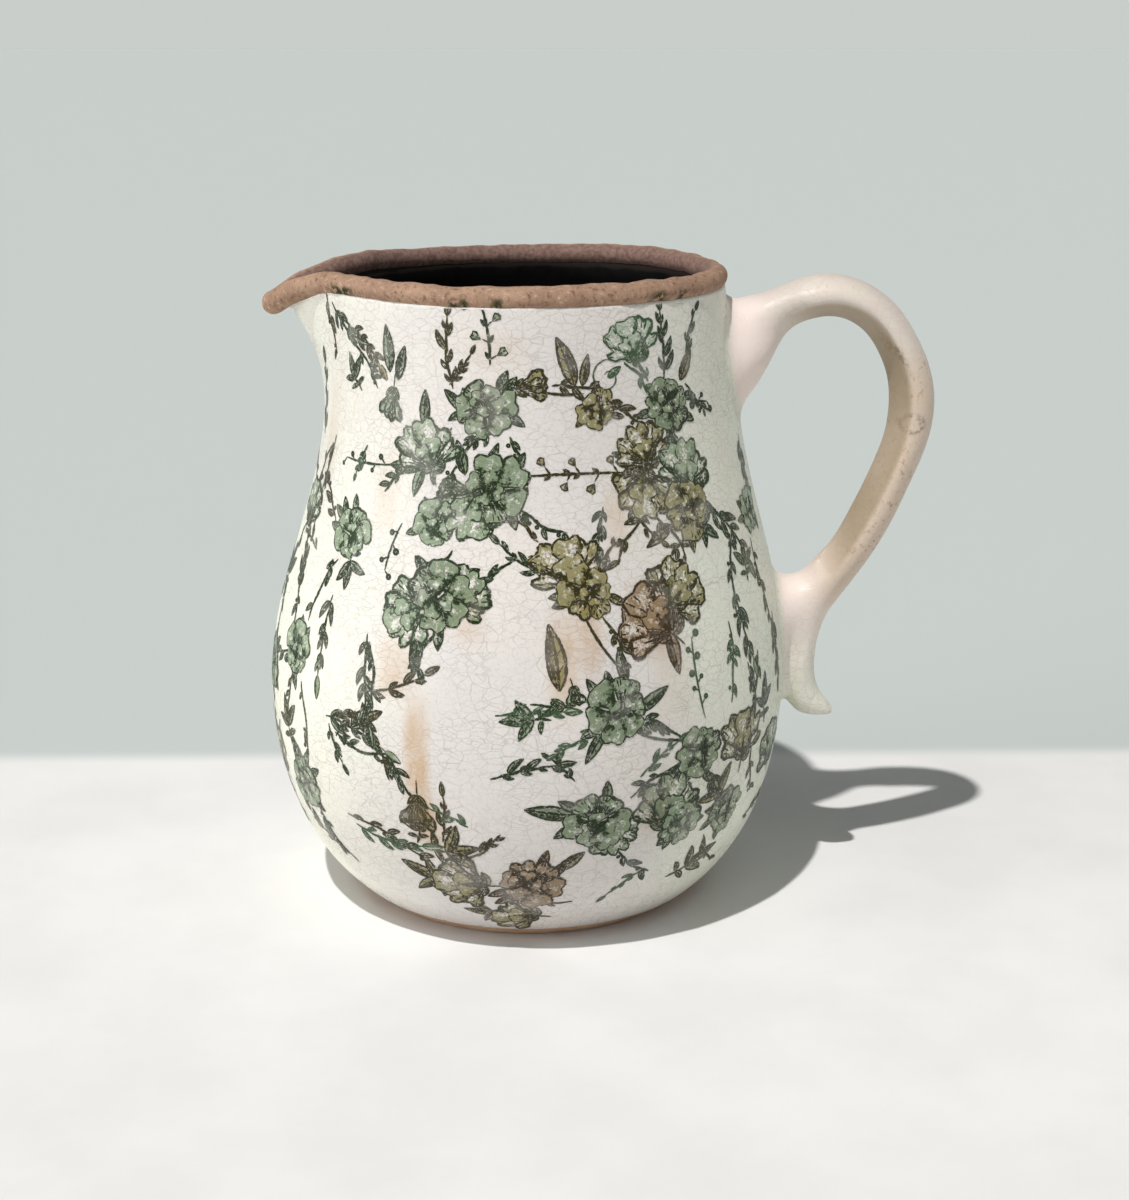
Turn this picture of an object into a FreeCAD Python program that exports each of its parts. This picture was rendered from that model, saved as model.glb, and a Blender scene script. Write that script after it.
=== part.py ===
"""Ceramic pitcher: a pear-shaped vessel with a pinched spout, a rolled rim and a looped strap handle.

Millimetres, +Z up. The origin is the centre of the foot on the surface the pitcher stands on.
The spout points to -X and the handle to +X. Every size comes from the spreadsheet named sizes.
"""
import FreeCAD, Part
import math
import os
import Sketcher

V = FreeCAD.Vector

doc = FreeCAD.newDocument("pitcher")

# Driving dimensions: alias, value in mm (or degrees, or a plain number), meaning
SIZES = (
    ("ring_height", 4.0, "height of the foot ring"),
    ("ring_bore", 44.0, "inner radius of the foot ring"),
    ("ring_base", 52.5, "outer radius of the foot ring where it stands"),
    ("ring_bevel", 0.8, "small bevel on both standing edges"),
    ("wall", 5.5, "wall thickness, measured level"),
    ("floor_top", 11.0, "height of the inside floor"),
    ("floor_radius", 44.0, "radius of the flat inside floor"),
    ("heel_height", 15.5, "height of the rounded corner above the inside floor"),
    ("heel_radius", 56.0, "inside radius at that corner"),
    ("bowl_height", 24.0, "height where the inside turns up into the wall"),
    ("bowl_radius", 65.5, "inside radius at that height"),
    ("liner", 0.8, "thickness of the dark glaze inside"),
    ("liner_reach", 52.0, "distance from the axis where it stops in the spout's channel"),
    ("liner_spout", 169.0, "height where the spout's channel begins"),
    ("rim_radius", 57.7, "radius of the middle line of the rim coil"),
    ("rim_middle", 196.8, "height of the middle line of the rim coil"),
    ("rim_half_width", 3.7, "half the width of the rim coil"),
    ("rim_half_height", 3.1, "half the height of the rim coil round the mouth"),
    ("rim_nose_height", 3.8, "half the height of the rim coil at the nose of the spout"),
    ("rim_seat", 2.7, "the wall ends this far below the rim's middle line"),
    ("spout_reach", 21.3, "how far the spout stands out from the round rim"),
    ("spout_spread", 6.3, "degrees over which the spout fades into the wall"),
    ("spout_nose", 8.0, "degrees of rounding at the nose of the spout"),
    ("spout_start", 150.0, "height where the spout begins to leave the neck"),
    ("spout_power", 2.4, "how late the spout swings outward"),
    ("lip_start", 58.0, "distance from the axis where the lip begins to droop"),
    ("lip_curve", 35.0, "radius of the drooping lip seen from the side"),
    ("strap_width", 20.0, "width of the handle strap"),
)

# Outer wall, foot to rim: name, height, radius, drift of the centre towards the handle
WALL_STATIONS = (
    ("foot", 4.0, 57.6, 0.0),
    ("lower_side", 14.0, 66.9, -0.2),
    ("low_belly", 30.0, 75.6, -0.6),
    ("mid_belly", 50.0, 80.9, -0.8),
    ("belly", 72.0, 82.3, -0.5),
    ("shoulder", 96.0, 79.0, 0.2),
    ("upper_shoulder", 122.0, 72.1, 1.0),
    ("low_neck", 146.0, 66.0, 1.2),
    ("neck", 158.0, 64.1, 1.0),
    ("high_neck", 168.0, 62.9, 0.7),
    ("throat", 177.0, 62.0, 0.4),
    ("under_lip", 185.0, 61.3, 0.2),
    ("lip", 192.0, 60.7, 0.1),
    ("above_lip", 198.0, 60.4, 0.0),
)

# Strap sections: name, x, z, direction of travel in degrees, thickness, share of strap_width
LOOP_STATIONS = (
    ("loop_root", 50.0, 178.6, 8.0, 14.4, 1.0),
    ("loop_neck", 62.0, 180.5, 11.0, 14.4, 1.0),
    ("loop_rise", 74.5, 184.1, 20.0, 13.8, 1.0),
    ("loop_shoulder", 83.0, 187.7, 17.0, 13.2, 1.0),
    ("loop_crown", 90.5, 189.7, 5.0, 13.2, 1.0),
    ("loop_top", 97.3, 189.4, -10.0, 13.0, 1.0),
    ("loop_turn", 103.8, 187.0, -27.0, 12.6, 1.0),
    ("loop_bend", 109.6, 182.6, -42.0, 12.4, 1.0),
    ("loop_side", 114.8, 175.3, -60.0, 12.7, 1.0),
    ("loop_flank", 118.7, 166.3, -75.0, 13.3, 1.0),
    ("loop_outermost", 120.2, 157.0, -90.0, 13.9, 1.0),
    ("loop_return", 119.2, 147.3, -101.0, 13.8, 1.0),
    ("loop_lower", 115.2, 134.8, -112.0, 13.3, 1.0),
    ("loop_shank", 106.8, 116.5, -120.0, 13.1, 1.0),
    ("loop_ankle", 98.6, 103.5, -125.0, 13.3, 1.0),
    ("loop_end", 90.6, 93.1, -127.0, 14.6, 1.0),
)
TAIL_STATIONS = (
    ("tail_head", 90.6, 93.1, -127.0, 14.6, 1.0),
    ("tail_bend", 87.2, 83.5, -101.0, 13.8, 1.0),
    ("tail_strip", 86.0, 73.0, -90.0, 13.2, 0.93),
    ("tail_waist", 87.0, 64.8, -77.0, 12.4, 0.82),
    ("tail_curl", 90.3, 58.6, -52.0, 10.6, 0.68),
    ("tail_lip", 95.4, 55.8, -33.0, 5.6, 0.5),
    ("tail_tip", 98.4, 54.4, -33.0, 2.4, 0.3),
)
UPPER_COIL_STATIONS = (
    ("upper_press", 55.0, 169.0, 3.0, 37.0, 1.9),
    ("upper_spread", 65.5, 171.2, 4.0, 31.0, 1.58),
    ("upper_web", 70.5, 175.9, 8.0, 24.6, 1.27),
    ("upper_fade", 76.0, 181.9, 18.0, 14.6, 1.06),
    ("upper_end", 83.0, 186.6, 18.0, 9.0, 0.8),
)
LOWER_COIL_STATIONS = (
    ("lower_press", 72.0, 87.0, 24.0, 30.0, 1.7),
    ("lower_spread", 80.0, 90.6, 26.0, 23.0, 1.38),
    ("lower_web", 84.6, 93.0, 32.0, 16.6, 1.14),
    ("lower_end", 90.0, 97.0, 40.0, 9.0, 0.8),
)

# Points round a wall section, along the rim and round the rim coil, and their crowding at the nose
RING_POINTS = 48
RIM_POINTS = 80
COIL_POINTS = 12
NOSE_CROWDING = 0.7


def fill_sheet():
    """Put every driving dimension in the spreadsheet, one row each, under its alias."""
    sheet = doc.addObject("Spreadsheet::Sheet", "sizes")
    rows = list(SIZES)
    for name, height, radius, drift in WALL_STATIONS:
        rows.append((name + "_height", height, "height of this wall section"))
        rows.append((name + "_radius", radius, "outer radius of this wall section"))
        rows.append((name + "_drift", drift, "how far its centre sits off the axis"))
    for name, across, up, heading, thickness, share in (
        LOOP_STATIONS + TAIL_STATIONS + UPPER_COIL_STATIONS + LOWER_COIL_STATIONS
    ):
        rows.append((name + "_across", across, "distance of this strap section from the axis"))
        rows.append((name + "_up", up, "its height"))
        rows.append((name + "_heading", heading, "its direction of travel in degrees above level"))
        rows.append((name + "_thickness", thickness, "its thickness"))
        rows.append((name + "_share", share, "its width as a share of strap_width"))
    for row, (alias, value, meaning) in enumerate(rows, start=1):
        sheet.set(f"A{row}", alias)
        sheet.set(f"B{row}", str(value))
        sheet.set(f"C{row}", meaning)
        sheet.setAlias(f"B{row}", alias)
    doc.recompute()
    return sheet


sheet = fill_sheet()


def size(alias):
    return float(sheet.get(alias))


def spout_share(angle):
    """1 on the spout's middle line, fading to 0 round the vessel; angle in degrees from +X."""
    off = (angle - 180.0 + 180.0) % 360.0 - 180.0
    nose = size("spout_nose")
    return math.exp(-(math.hypot(off, nose) - nose) / size("spout_spread"))


def spout_swing(height):
    """How far the spout's middle line stands out from the round wall at this height."""
    rise = (height - size("spout_start")) / (size("rim_middle") - size("spout_start"))
    return size("spout_reach") * max(rise, 0.0) ** size("spout_power")


def lip_height(x):
    """Height of the rim's middle line, which droops in an arc towards the spout's nose."""
    past = max(-x - size("lip_start"), 0.0)
    curve = size("lip_curve")
    return size("rim_middle") - (curve - math.sqrt(curve ** 2 - past ** 2))


def crowded_angles(count):
    """Angles from +X all round the vessel, set closer together where the spout's nose needs them."""
    angles = []
    for step in range(count):
        even = 2 * math.pi * step / count
        angles.append(math.degrees(even + NOSE_CROWDING * math.sin(even)))
    return angles


def ring_wire(height, radius, drift, swing):
    """A closed level curve: a circle with the spout drawn out of it."""
    points = []
    for angle in crowded_angles(RING_POINTS):
        reach = radius + swing * spout_share(angle)
        turn = math.radians(angle)
        points.append(V(drift + reach * math.cos(turn), reach * math.sin(turn), height))
    curve = Part.BSplineCurve()
    curve.interpolate(points, PeriodicFlag=True)
    return Part.Wire(curve.toShape())


def feature(name, shape):
    made = doc.addObject("Part::Feature", name)
    made.Shape = shape
    return made


def loft(name, sections):
    made = doc.addObject("Part::Loft", name)
    made.Sections = sections
    made.Solid = True
    made.Ruled = False
    return made


def cut(name, base, tool):
    made = doc.addObject("Part::Cut", name)
    made.Base = base
    made.Tool = tool
    return made


def fuse(name, shapes):
    made = doc.addObject("Part::MultiFuse", name)
    made.Shapes = shapes
    return made


def outer_form():
    """The vessel's outside as one solid."""
    rings = []
    for name, _, _, _ in WALL_STATIONS:
        height = size(name + "_height")
        wire = ring_wire(height, size(name + "_radius"), size(name + "_drift"), spout_swing(height))
        rings.append(feature("outer_" + name, wire))
    return loft("outer_form", rings)


def cavity_form(name, skin):
    """The vessel's inside as one solid, skin millimetres smaller than the bare clay leaves it."""
    corners = (
        (size("floor_top") + skin, size("floor_radius") - skin),
        (size("heel_height") + skin, size("heel_radius") - skin),
        (size("bowl_height") + skin / 2, size("bowl_radius") - skin),
    )
    rings = []
    for number, (height, radius) in enumerate(corners, start=1):
        rings.append(feature(f"{name}_corner_{number}", ring_wire(height, radius, 0.0, 0.0)))
    for station, height, _, _ in WALL_STATIONS:
        if height < 40.0:
            continue
        height = size(station + "_height")
        radius = size(station + "_radius") - size("wall") - skin
        wire = ring_wire(height, radius, size(station + "_drift"), spout_swing(height))
        rings.append(feature(f"{name}_{station}", wire))
    return loft(name, rings)


def rim_frames():
    """Points along the rim's middle line, each with its outward and upward half axes."""
    points = []
    for angle in crowded_angles(RIM_POINTS):
        reach = size("rim_radius") + size("spout_reach") * spout_share(angle)
        turn = math.radians(angle)
        x = reach * math.cos(turn)
        points.append(V(x, reach * math.sin(turn), lip_height(x)))
    frames = []
    for index, angle in enumerate(crowded_angles(RIM_POINTS)):
        along = points[(index + 1) % RIM_POINTS] - points[index - 1]
        along.normalize()
        outward = along.cross(V(0, 0, 1))
        outward.normalize()
        upward = outward.cross(along)
        plain = size("rim_half_height")
        half_height = plain + (size("rim_nose_height") - plain) * spout_share(angle)
        frames.append((points[index], outward * size("rim_half_width"), upward * half_height))
    return frames


def rim_band():
    """The rolled coil of bare clay that finishes the mouth and the spout.

    It closes on itself both ways, so it is skinned as one doubly closed surface over its control net.
    """
    pull = 3.0 / (2.0 + math.cos(2 * math.pi / COIL_POINTS))
    net = []
    for point, outward, upward in rim_frames():
        row = []
        for step in range(COIL_POINTS):
            turn = 2 * math.pi * step / COIL_POINTS
            spoke = outward * math.cos(turn) + upward * math.sin(turn)
            row.append(point + spoke * pull)
        net.append(row)
    skin = Part.BSplineSurface()
    skin.buildFromPolesMultsKnots(
        net,
        umults=[1] * (RIM_POINTS + 1),
        vmults=[1] * (COIL_POINTS + 1),
        uknots=list(range(RIM_POINTS + 1)),
        vknots=list(range(COIL_POINTS + 1)),
        uperiodic=True,
        vperiodic=True,
        udegree=3,
        vdegree=3,
    )
    return feature("rim_band", Part.Solid(Part.Shell([skin.toShape()])))


def strap_section(name):
    """One oval section of a strap, square to its direction of travel in the XZ plane."""
    oval = doc.addObject("Part::Ellipse", name)
    oval.setExpression("MajorRadius", f"sizes.strap_width * sizes.{name}_share / 2")
    oval.setExpression("MinorRadius", f"sizes.{name}_thickness / 2")
    turn = math.radians(size(name + "_heading"))
    travel = V(math.cos(turn), 0, math.sin(turn))
    outward = V(-math.sin(turn), 0, math.cos(turn))
    oval.Placement = FreeCAD.Placement(V(0, 0, 0), FreeCAD.Rotation(V(0, 1, 0), outward, travel, "XYZ"))
    oval.setExpression("Placement.Base.x", f"sizes.{name}_across")
    oval.setExpression("Placement.Base.z", f"sizes.{name}_up")
    return oval


def strap_loft(name, stations):
    return loft(name, [strap_section(station[0]) for station in stations])


def place_corner(sketch, geometry, end, name, across, up):
    """Tie one end of a sketched line to the sheet, by its distances from the sketch's origin."""
    for kind, formula in (("DistanceX", across), ("DistanceY", up)):
        index = sketch.addConstraint(Sketcher.Constraint(kind, -1, 1, geometry, end, 1.0))
        label = f"{name}_{kind}"
        sketch.renameConstraint(index, label)
        sketch.setExpression(f"Constraints.{label}", formula)


def foot_ring():
    """The bare ring that the vessel stands on, turned round the axis."""
    body = doc.addObject("PartDesign::Body", "foot_ring")
    planes = {plane.Role: plane for plane in body.Origin.OriginFeatures}
    sketch = body.newObject("Sketcher::SketchObject", "foot_profile")
    sketch.AttachmentSupport = [(planes["XZ_Plane"], "")]
    sketch.MapMode = "FlatFace"
    corners = (
        ("bore_base", size("ring_bore"), 0.0, "sizes.ring_bore", "0"),
        ("outer_base", size("ring_base"), 0.0, "sizes.ring_base", "0"),
        ("outer_top", size("foot_radius"), size("ring_height"), "sizes.foot_radius", "sizes.ring_height"),
        ("bore_top", size("ring_bore"), size("ring_height"), "sizes.ring_bore", "sizes.ring_height"),
    )
    for index, (_, x, y, _, _) in enumerate(corners):
        _, next_x, next_y, _, _ = corners[(index + 1) % len(corners)]
        sketch.addGeometry(Part.LineSegment(V(x, y, 0), V(next_x, next_y, 0)), False)
    for index in range(len(corners)):
        follower = (index + 1) % len(corners)
        sketch.addConstraint(Sketcher.Constraint("Coincident", index, 2, follower, 1))
    for index, (name, _, _, across, up) in enumerate(corners):
        place_corner(sketch, index, 1, name, across, up)
    turned = body.newObject("PartDesign::Revolution", "foot_turning")
    turned.Profile = sketch
    turned.ReferenceAxis = (sketch, ["V_Axis"])
    turned.Angle = 360.0
    doc.recompute()
    standing = []
    for index, edge in enumerate(turned.Shape.Edges, start=1):
        if edge.BoundBox.ZMax < 0.001 and edge.Length > 1.0:
            standing.append(f"Edge{index}")
    bevel = body.newObject("PartDesign::Chamfer", "foot_bevel")
    bevel.Base = (turned, standing)
    bevel.setExpression("Size", "sizes.ring_bevel")
    body.Tip = bevel
    return body


def lip_cutter():
    """Everything above the seat of the rim coil, with the droop of the spout's lip below it."""
    drop = size("rim_seat")
    start = -size("lip_start")
    far = start - 0.9 * size("lip_curve")
    bend = [V(x, 0, lip_height(x) - drop) for x in (start, (start + far) / 2, far)]
    top = size("above_lip_height") + 10.0
    right = 2.0 * size("rim_radius")
    corners = [bend[2], V(far, 0, top), V(right, 0, top), V(right, 0, bend[0].z), bend[0]]
    line = Part.makePolygon(corners)
    droop = Part.Arc(*bend)
    outline = feature("lip_outline", Part.Wire([droop.toShape()] + line.Edges))
    cutter = doc.addObject("Part::Extrusion", "lip_cutter")
    cutter.Base = outline
    cutter.DirMode = "Custom"
    cutter.Dir = V(0, 1, 0)
    cutter.LengthFwd = right
    cutter.LengthRev = right
    cutter.Solid = True
    return cutter


def spout_channel():
    """The block within which the spout's channel is left without the dark glaze."""
    block = doc.addObject("Part::Box", "spout_channel")
    block.setExpression("Length", "sizes.belly_radius")
    block.setExpression("Width", "sizes.belly_radius")
    block.setExpression("Height", "sizes.rim_middle - sizes.liner_spout")
    block.setExpression("Placement.Base.x", "-sizes.belly_radius - sizes.liner_reach")
    block.setExpression("Placement.Base.y", "-sizes.belly_radius / 2")
    block.setExpression("Placement.Base.z", "sizes.liner_spout")
    return block


def make_pieces():
    """Build every sub-part and return them by name."""
    outer = outer_form()
    cavity = cavity_form("cavity_form", 0.0)
    lining = cavity_form("lining_form", size("liner"))
    rim = rim_band()
    cutter = lip_cutter()
    loop = strap_loft("loop_form", LOOP_STATIONS)
    tail = strap_loft("tail_form", TAIL_STATIONS)
    upper = strap_loft("upper_form", UPPER_COIL_STATIONS)
    lower = strap_loft("lower_form", LOWER_COIL_STATIONS)
    return {
        "vessel_body": cut("vessel_body", outer, fuse("hollow_form", [cavity, cutter, rim])),
        "foot_ring": foot_ring(),
        "rim_band": rim,
        "inner_glaze": cut("inner_glaze", cavity, fuse("bare_inside", [lining, cutter, spout_channel()])),
        "handle": cut("handle", loop, outer),
        "handle_tail": cut("handle_tail", tail, outer),
        "upper_joint_coil": cut("upper_joint_coil", upper, fuse("upper_core", [outer, loop])),
        "lower_joint_coil": cut("lower_joint_coil", lower, fuse("lower_core", [outer, loop, tail])),
    }


def check_document():
    """Stop if any object of the document failed to build."""
    for obj in doc.Objects:
        if "Invalid" in obj.State or "Error" in obj.State:
            raise RuntimeError(f"{obj.Name} failed: {obj.State}")


def write_pieces(pieces):
    """Label every sub-part and write each one to its own STEP file."""
    os.makedirs("parts", exist_ok=True)
    for name, piece in pieces.items():
        piece.Label = name
        shape = piece.Shape
        if shape.isNull() or not shape.isValid():
            raise RuntimeError(f"{name} is not a valid shape")
        shape.exportStep(f"parts/{name}.step")
        print(f"{name}: {len(shape.Solids)} solid, {shape.Volume / 1000:.2f} ml of clay")


pieces = make_pieces()
doc.recompute()
check_document()
write_pieces(pieces)
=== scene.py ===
"""Looks of a glazed ceramic pitcher with a printed flower pattern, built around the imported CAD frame.

Blender, metres. The spout points to -X, the handle to +X and the camera stands on the -Y side.
Lengths that are written as plain numbers below are millimetres until they are multiplied by MM.
"""

import math
import random

import bmesh
import bpy
import numpy as np
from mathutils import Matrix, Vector, noise
from mathutils.bvhtree import BVHTree


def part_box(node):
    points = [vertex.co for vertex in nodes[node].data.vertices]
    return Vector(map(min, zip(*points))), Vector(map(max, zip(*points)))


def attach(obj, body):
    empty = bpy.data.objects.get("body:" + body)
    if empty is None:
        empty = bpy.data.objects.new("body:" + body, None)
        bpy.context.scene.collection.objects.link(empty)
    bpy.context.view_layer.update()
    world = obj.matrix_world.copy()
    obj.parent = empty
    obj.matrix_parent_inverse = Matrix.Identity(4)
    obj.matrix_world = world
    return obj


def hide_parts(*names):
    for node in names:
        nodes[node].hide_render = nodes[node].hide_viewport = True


MM = 0.001
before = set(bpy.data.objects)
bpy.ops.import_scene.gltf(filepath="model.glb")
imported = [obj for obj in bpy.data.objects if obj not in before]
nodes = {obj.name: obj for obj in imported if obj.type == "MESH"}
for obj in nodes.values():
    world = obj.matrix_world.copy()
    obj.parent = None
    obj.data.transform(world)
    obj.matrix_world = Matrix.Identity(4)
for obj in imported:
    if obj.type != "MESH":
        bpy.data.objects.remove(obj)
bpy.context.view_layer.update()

DOWN, UP = Vector((0, 0, -1)), Vector((0, 0, 1))
# A distance that is well outside the pitcher
OUTSIDE = 200 * MM

# Grid of the rebuilt wall: columns round the pitcher, rows up the outside and down the inside
COLUMNS = 400
OUTER_ROWS = 170
INNER_ROWS = 56
# How much closer together the columns are at the spout's nose, and the outer rows at the foot and rim
NOSE_CROWDING = 0.6
ROW_CROWDING = 0.07

# How far the wall's top lies under the middle line of the rim coil, and where wall and coat end in the coil
RIM_SEAT = 2.7 * MM
TUCK = 0.5 * MM

# Hand-made unevenness of the wall: length and depth of its waves and ripples, and where it fades out
WAVE = (38 * MM, 0.30 * MM)
RIPPLE = (24 * MM, 0.07 * MM)
FOOT_FADE = 12 * MM
SEAT_FADE = 8 * MM


# ---------------------------------------------------------------- reading the frame

def tree_of(*names):
    """A tree for casting rays at these CAD nodes."""
    points, faces = [], []
    for name in names:
        mesh = nodes[name].data
        start = len(points)
        points += [v.co.copy() for v in mesh.vertices]
        faces += [[start + i for i in p.vertices] for p in mesh.polygons]
    return BVHTree.FromPolygons(points, faces)


def drop(tree, x, y, height):
    """Where a ray cast straight down from this height meets the tree, or None."""
    return tree.ray_cast(Vector((x, y, height)), DOWN)[0]


def bell_weights(width):
    """Steps and weights of a Gaussian blur that is this many cells wide."""
    reach = int(3 * width) + 1
    steps = np.arange(-reach, reach + 1)
    weights = np.exp(-0.5 * (steps / width) ** 2)
    return steps, weights / weights.sum()


def blur_round(values, width):
    """Blur along the first axis, which runs round the pitcher and closes on itself."""
    steps, weights = bell_weights(width)
    return sum(w * np.roll(values, int(k), axis=0) for k, w in zip(steps, weights))


def blur_up(values, width):
    """Blur along the second axis, with each end carried on in a straight line."""
    steps, weights = bell_weights(width)
    reach = steps[-1]
    before = 2 * values[:, :1] - values[:, reach:0:-1]
    after = 2 * values[:, -1:] - values[:, -2:-reach - 2:-1]
    padded = np.concatenate([before, values, after], axis=1)
    rows = values.shape[1]
    return sum(w * padded[:, reach + k:reach + k + rows] for k, w in zip(steps, weights))


def smoothstep(low, high, x):
    """0 at low, 1 at high and a soft step between, for high under low too."""
    t = np.clip((np.asarray(x, float) - low) / (high - low), 0, 1)
    return t * t * (3 - 2 * t)


def step(angle, length=1.0):
    """A flat step of this length at this angle, for one angle or many."""
    return np.stack([length * np.cos(angle), length * np.sin(angle)], axis=-1)


def left_of(steps):
    """Each flat step turned a quarter turn to the left."""
    return np.stack([-steps[..., 1], steps[..., 0]], axis=-1)


turns = np.arange(COLUMNS) / COLUMNS * 2 * math.pi
angles = turns + NOSE_CROWDING * np.sin(turns)
cosines, sines = np.cos(angles), np.sin(angles)
row_share = np.linspace(0, 1, OUTER_ROWS)
row_share -= ROW_CROWDING * np.sin(2 * math.pi * row_share)
inner_share = np.linspace(0, 1, INNER_ROWS) ** 1.4


def around(values):
    """A value for each column, with the first one again at the end, for reading between columns."""
    return np.append(values, values[0])


# The columns' angles from 0 to a full turn, to go with around()
full_turn = np.append(angles, angles[0] + 2 * math.pi)


def read_rim():
    """Middle line of the rim coil: distance from the axis, height and half its height, for each column."""
    tree = tree_of("rim_band")
    low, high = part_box("rim_band")
    reach = max(-low.x, high.x) + 2 * MM
    stride = 0.15 * MM
    radii = np.arange(0.5 * reach, reach, stride)
    middle, height, half = [], [], []
    for c, s in zip(cosines, sines):
        hits = [r for r in radii if drop(tree, r * c, r * s, high.z + MM)]
        r = (hits[0] + hits[-1]) / 2
        top = drop(tree, r * c, r * s, high.z + MM).z
        bottom = tree.ray_cast(Vector((r * c, r * s, low.z - MM)), UP)[0].z
        middle.append(r)
        height.append(bottom + RIM_SEAT)
        half.append(top - bottom - RIM_SEAT)
    return [blur_round(np.array(a), 2.0) for a in (middle, height, half)]


def read_wall():
    """Outer and inner radius of the wall on the grid, as the CAD solids have them."""
    edge = 0.03 * MM
    outer = np.zeros((COLUMNS, OUTER_ROWS))
    inner = np.zeros((COLUMNS, INNER_ROWS))
    for i, (c, s) in enumerate(zip(cosines, sines)):
        out = Vector((c, s, 0))
        for j, z in enumerate(outer_heights[i]):
            z = min(max(z, foot_top + edge), seat[i] - edge)
            hit = wall_tree.ray_cast(out * OUTSIDE + Vector((0, 0, z)), -out)[0]
            outer[i, j] = math.hypot(hit.x, hit.y)
        for j, z in enumerate(floor_top + (seat[i] - floor_top) * inner_share):
            start = Vector((0, 0, min(max(z, floor_top + edge), seat[i] - edge)))
            hit = lining_tree.ray_cast(start, out)[0] or wall_tree.ray_cast(start, out)[0]
            inner[i, j] = math.hypot(hit.x, hit.y)
    return blur_up(blur_round(outer, 1.6), 1.6), blur_up(blur_round(inner, 2.0), 1.2)


def hand_made(x, y, z):
    """Small unevenness of a wall pressed and sponged by hand, in metres."""
    wave = noise.noise(Vector((x, y, z)) / WAVE[0]) * WAVE[1]
    ripple = noise.noise(Vector((x + 1, y, z * 3)) / RIPPLE[0]) * RIPPLE[1]
    return wave + ripple


def roughened(radius):
    """The wall's outer radii with the unevenness added, fading out at the foot and under the rim."""
    radius = radius.copy()
    for i in range(COLUMNS):
        heights = outer_heights[i]
        fade = smoothstep(0, FOOT_FADE, heights - foot_top) * smoothstep(0, SEAT_FADE, seat[i] - heights)
        for j in range(OUTER_ROWS):
            r = radius[i, j]
            radius[i, j] = r + fade[j] * hand_made(r * cosines[i], r * sines[i], heights[j])
    return radius


wall_tree, lining_tree = tree_of("vessel_body"), tree_of("inner_glaze")
foot_top, wall_top = (corner.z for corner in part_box("vessel_body"))
floor_top = drop(lining_tree, 0, 0, wall_top).z
rim_radius, rim_height, rim_half = read_rim()
seat = rim_height - RIM_SEAT
outer_heights = foot_top + (seat - foot_top)[:, None] * row_share
wall_outer, wall_inner = read_wall()
wall_outer = roughened(wall_outer)

wall_points = np.stack(
    [wall_outer * cosines[:, None], wall_outer * sines[:, None], outer_heights], axis=2
)
across = np.roll(wall_points, -1, axis=0) - np.roll(wall_points, 1, axis=0)
upward = np.gradient(wall_points, axis=1)
wall_normals = np.cross(across, upward)
wall_normals /= np.linalg.norm(wall_normals, axis=2, keepdims=True)


# ---------------------------------------------------------------- mesh helpers

def linked(name, data):
    """A new object that shows this mesh, lamp or camera in the scene."""
    thing = bpy.data.objects.new(name, data)
    bpy.context.scene.collection.objects.link(thing)
    return thing


def mesh_piece(name, points, faces):
    """A smooth-shaded mesh object."""
    mesh = bpy.data.meshes.new(name)
    mesh.from_pydata([tuple(p) for p in points], [], [tuple(f) for f in faces])
    mesh.validate()
    mesh.update()
    mesh.shade_smooth()
    return linked(name, mesh)


def dress(piece, material, slot, *replaced):
    """Give a piece its material, let it ride with the pitcher and hide the CAD nodes that it takes the place
    of. The slot is not used.
    """
    piece.data.materials.clear()
    piece.data.materials.append(material)
    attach(piece, "root")
    if replaced:
        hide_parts(*replaced)


def point_values(piece, name, values):
    """Write one number for each point of a piece, for its material to read."""
    attribute = piece.data.attributes.new(name, "FLOAT", "POINT")
    attribute.data.foreach_set("value", np.asarray(values, np.float32))


def ring_grid(rings, start, end):
    """Points and faces of rings joined one to the next; a start or end point closes that end with a fan."""
    count = len(rings[0])
    points = [p for ring in rings for p in ring]
    faces = []
    for k in range(len(rings) - 1):
        for i in range(count):
            n = (i + 1) % count
            faces.append((k * count + i, k * count + n, (k + 1) * count + n, (k + 1) * count + i))
    if start is not None:
        points.append(start)
        faces += [(len(points) - 1, (i + 1) % count, i) for i in range(count)]
    if end is not None:
        points.append(end)
        base = (len(rings) - 1) * count
        faces += [(len(points) - 1, base + i, base + (i + 1) % count) for i in range(count)]
    return points, faces


def column_ring(radius, height):
    """A ring of points, one for each column, at a radius and height that may differ by column."""
    radius, height = np.broadcast_to(radius, COLUMNS), np.broadcast_to(height, COLUMNS)
    return list(np.stack([radius * cosines, radius * sines, height], axis=1))


# ---------------------------------------------------------------- materials

def tone(red, green, blue):
    """A colour as a paint chart gives it, 0 to 255, turned into scene-linear values."""
    values = []
    for v in (red, green, blue):
        v /= 255
        values.append(v / 12.92 if v <= 0.04045 else ((v + 0.055) / 1.055) ** 2.4)
    return (*values, 1.0)


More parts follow.
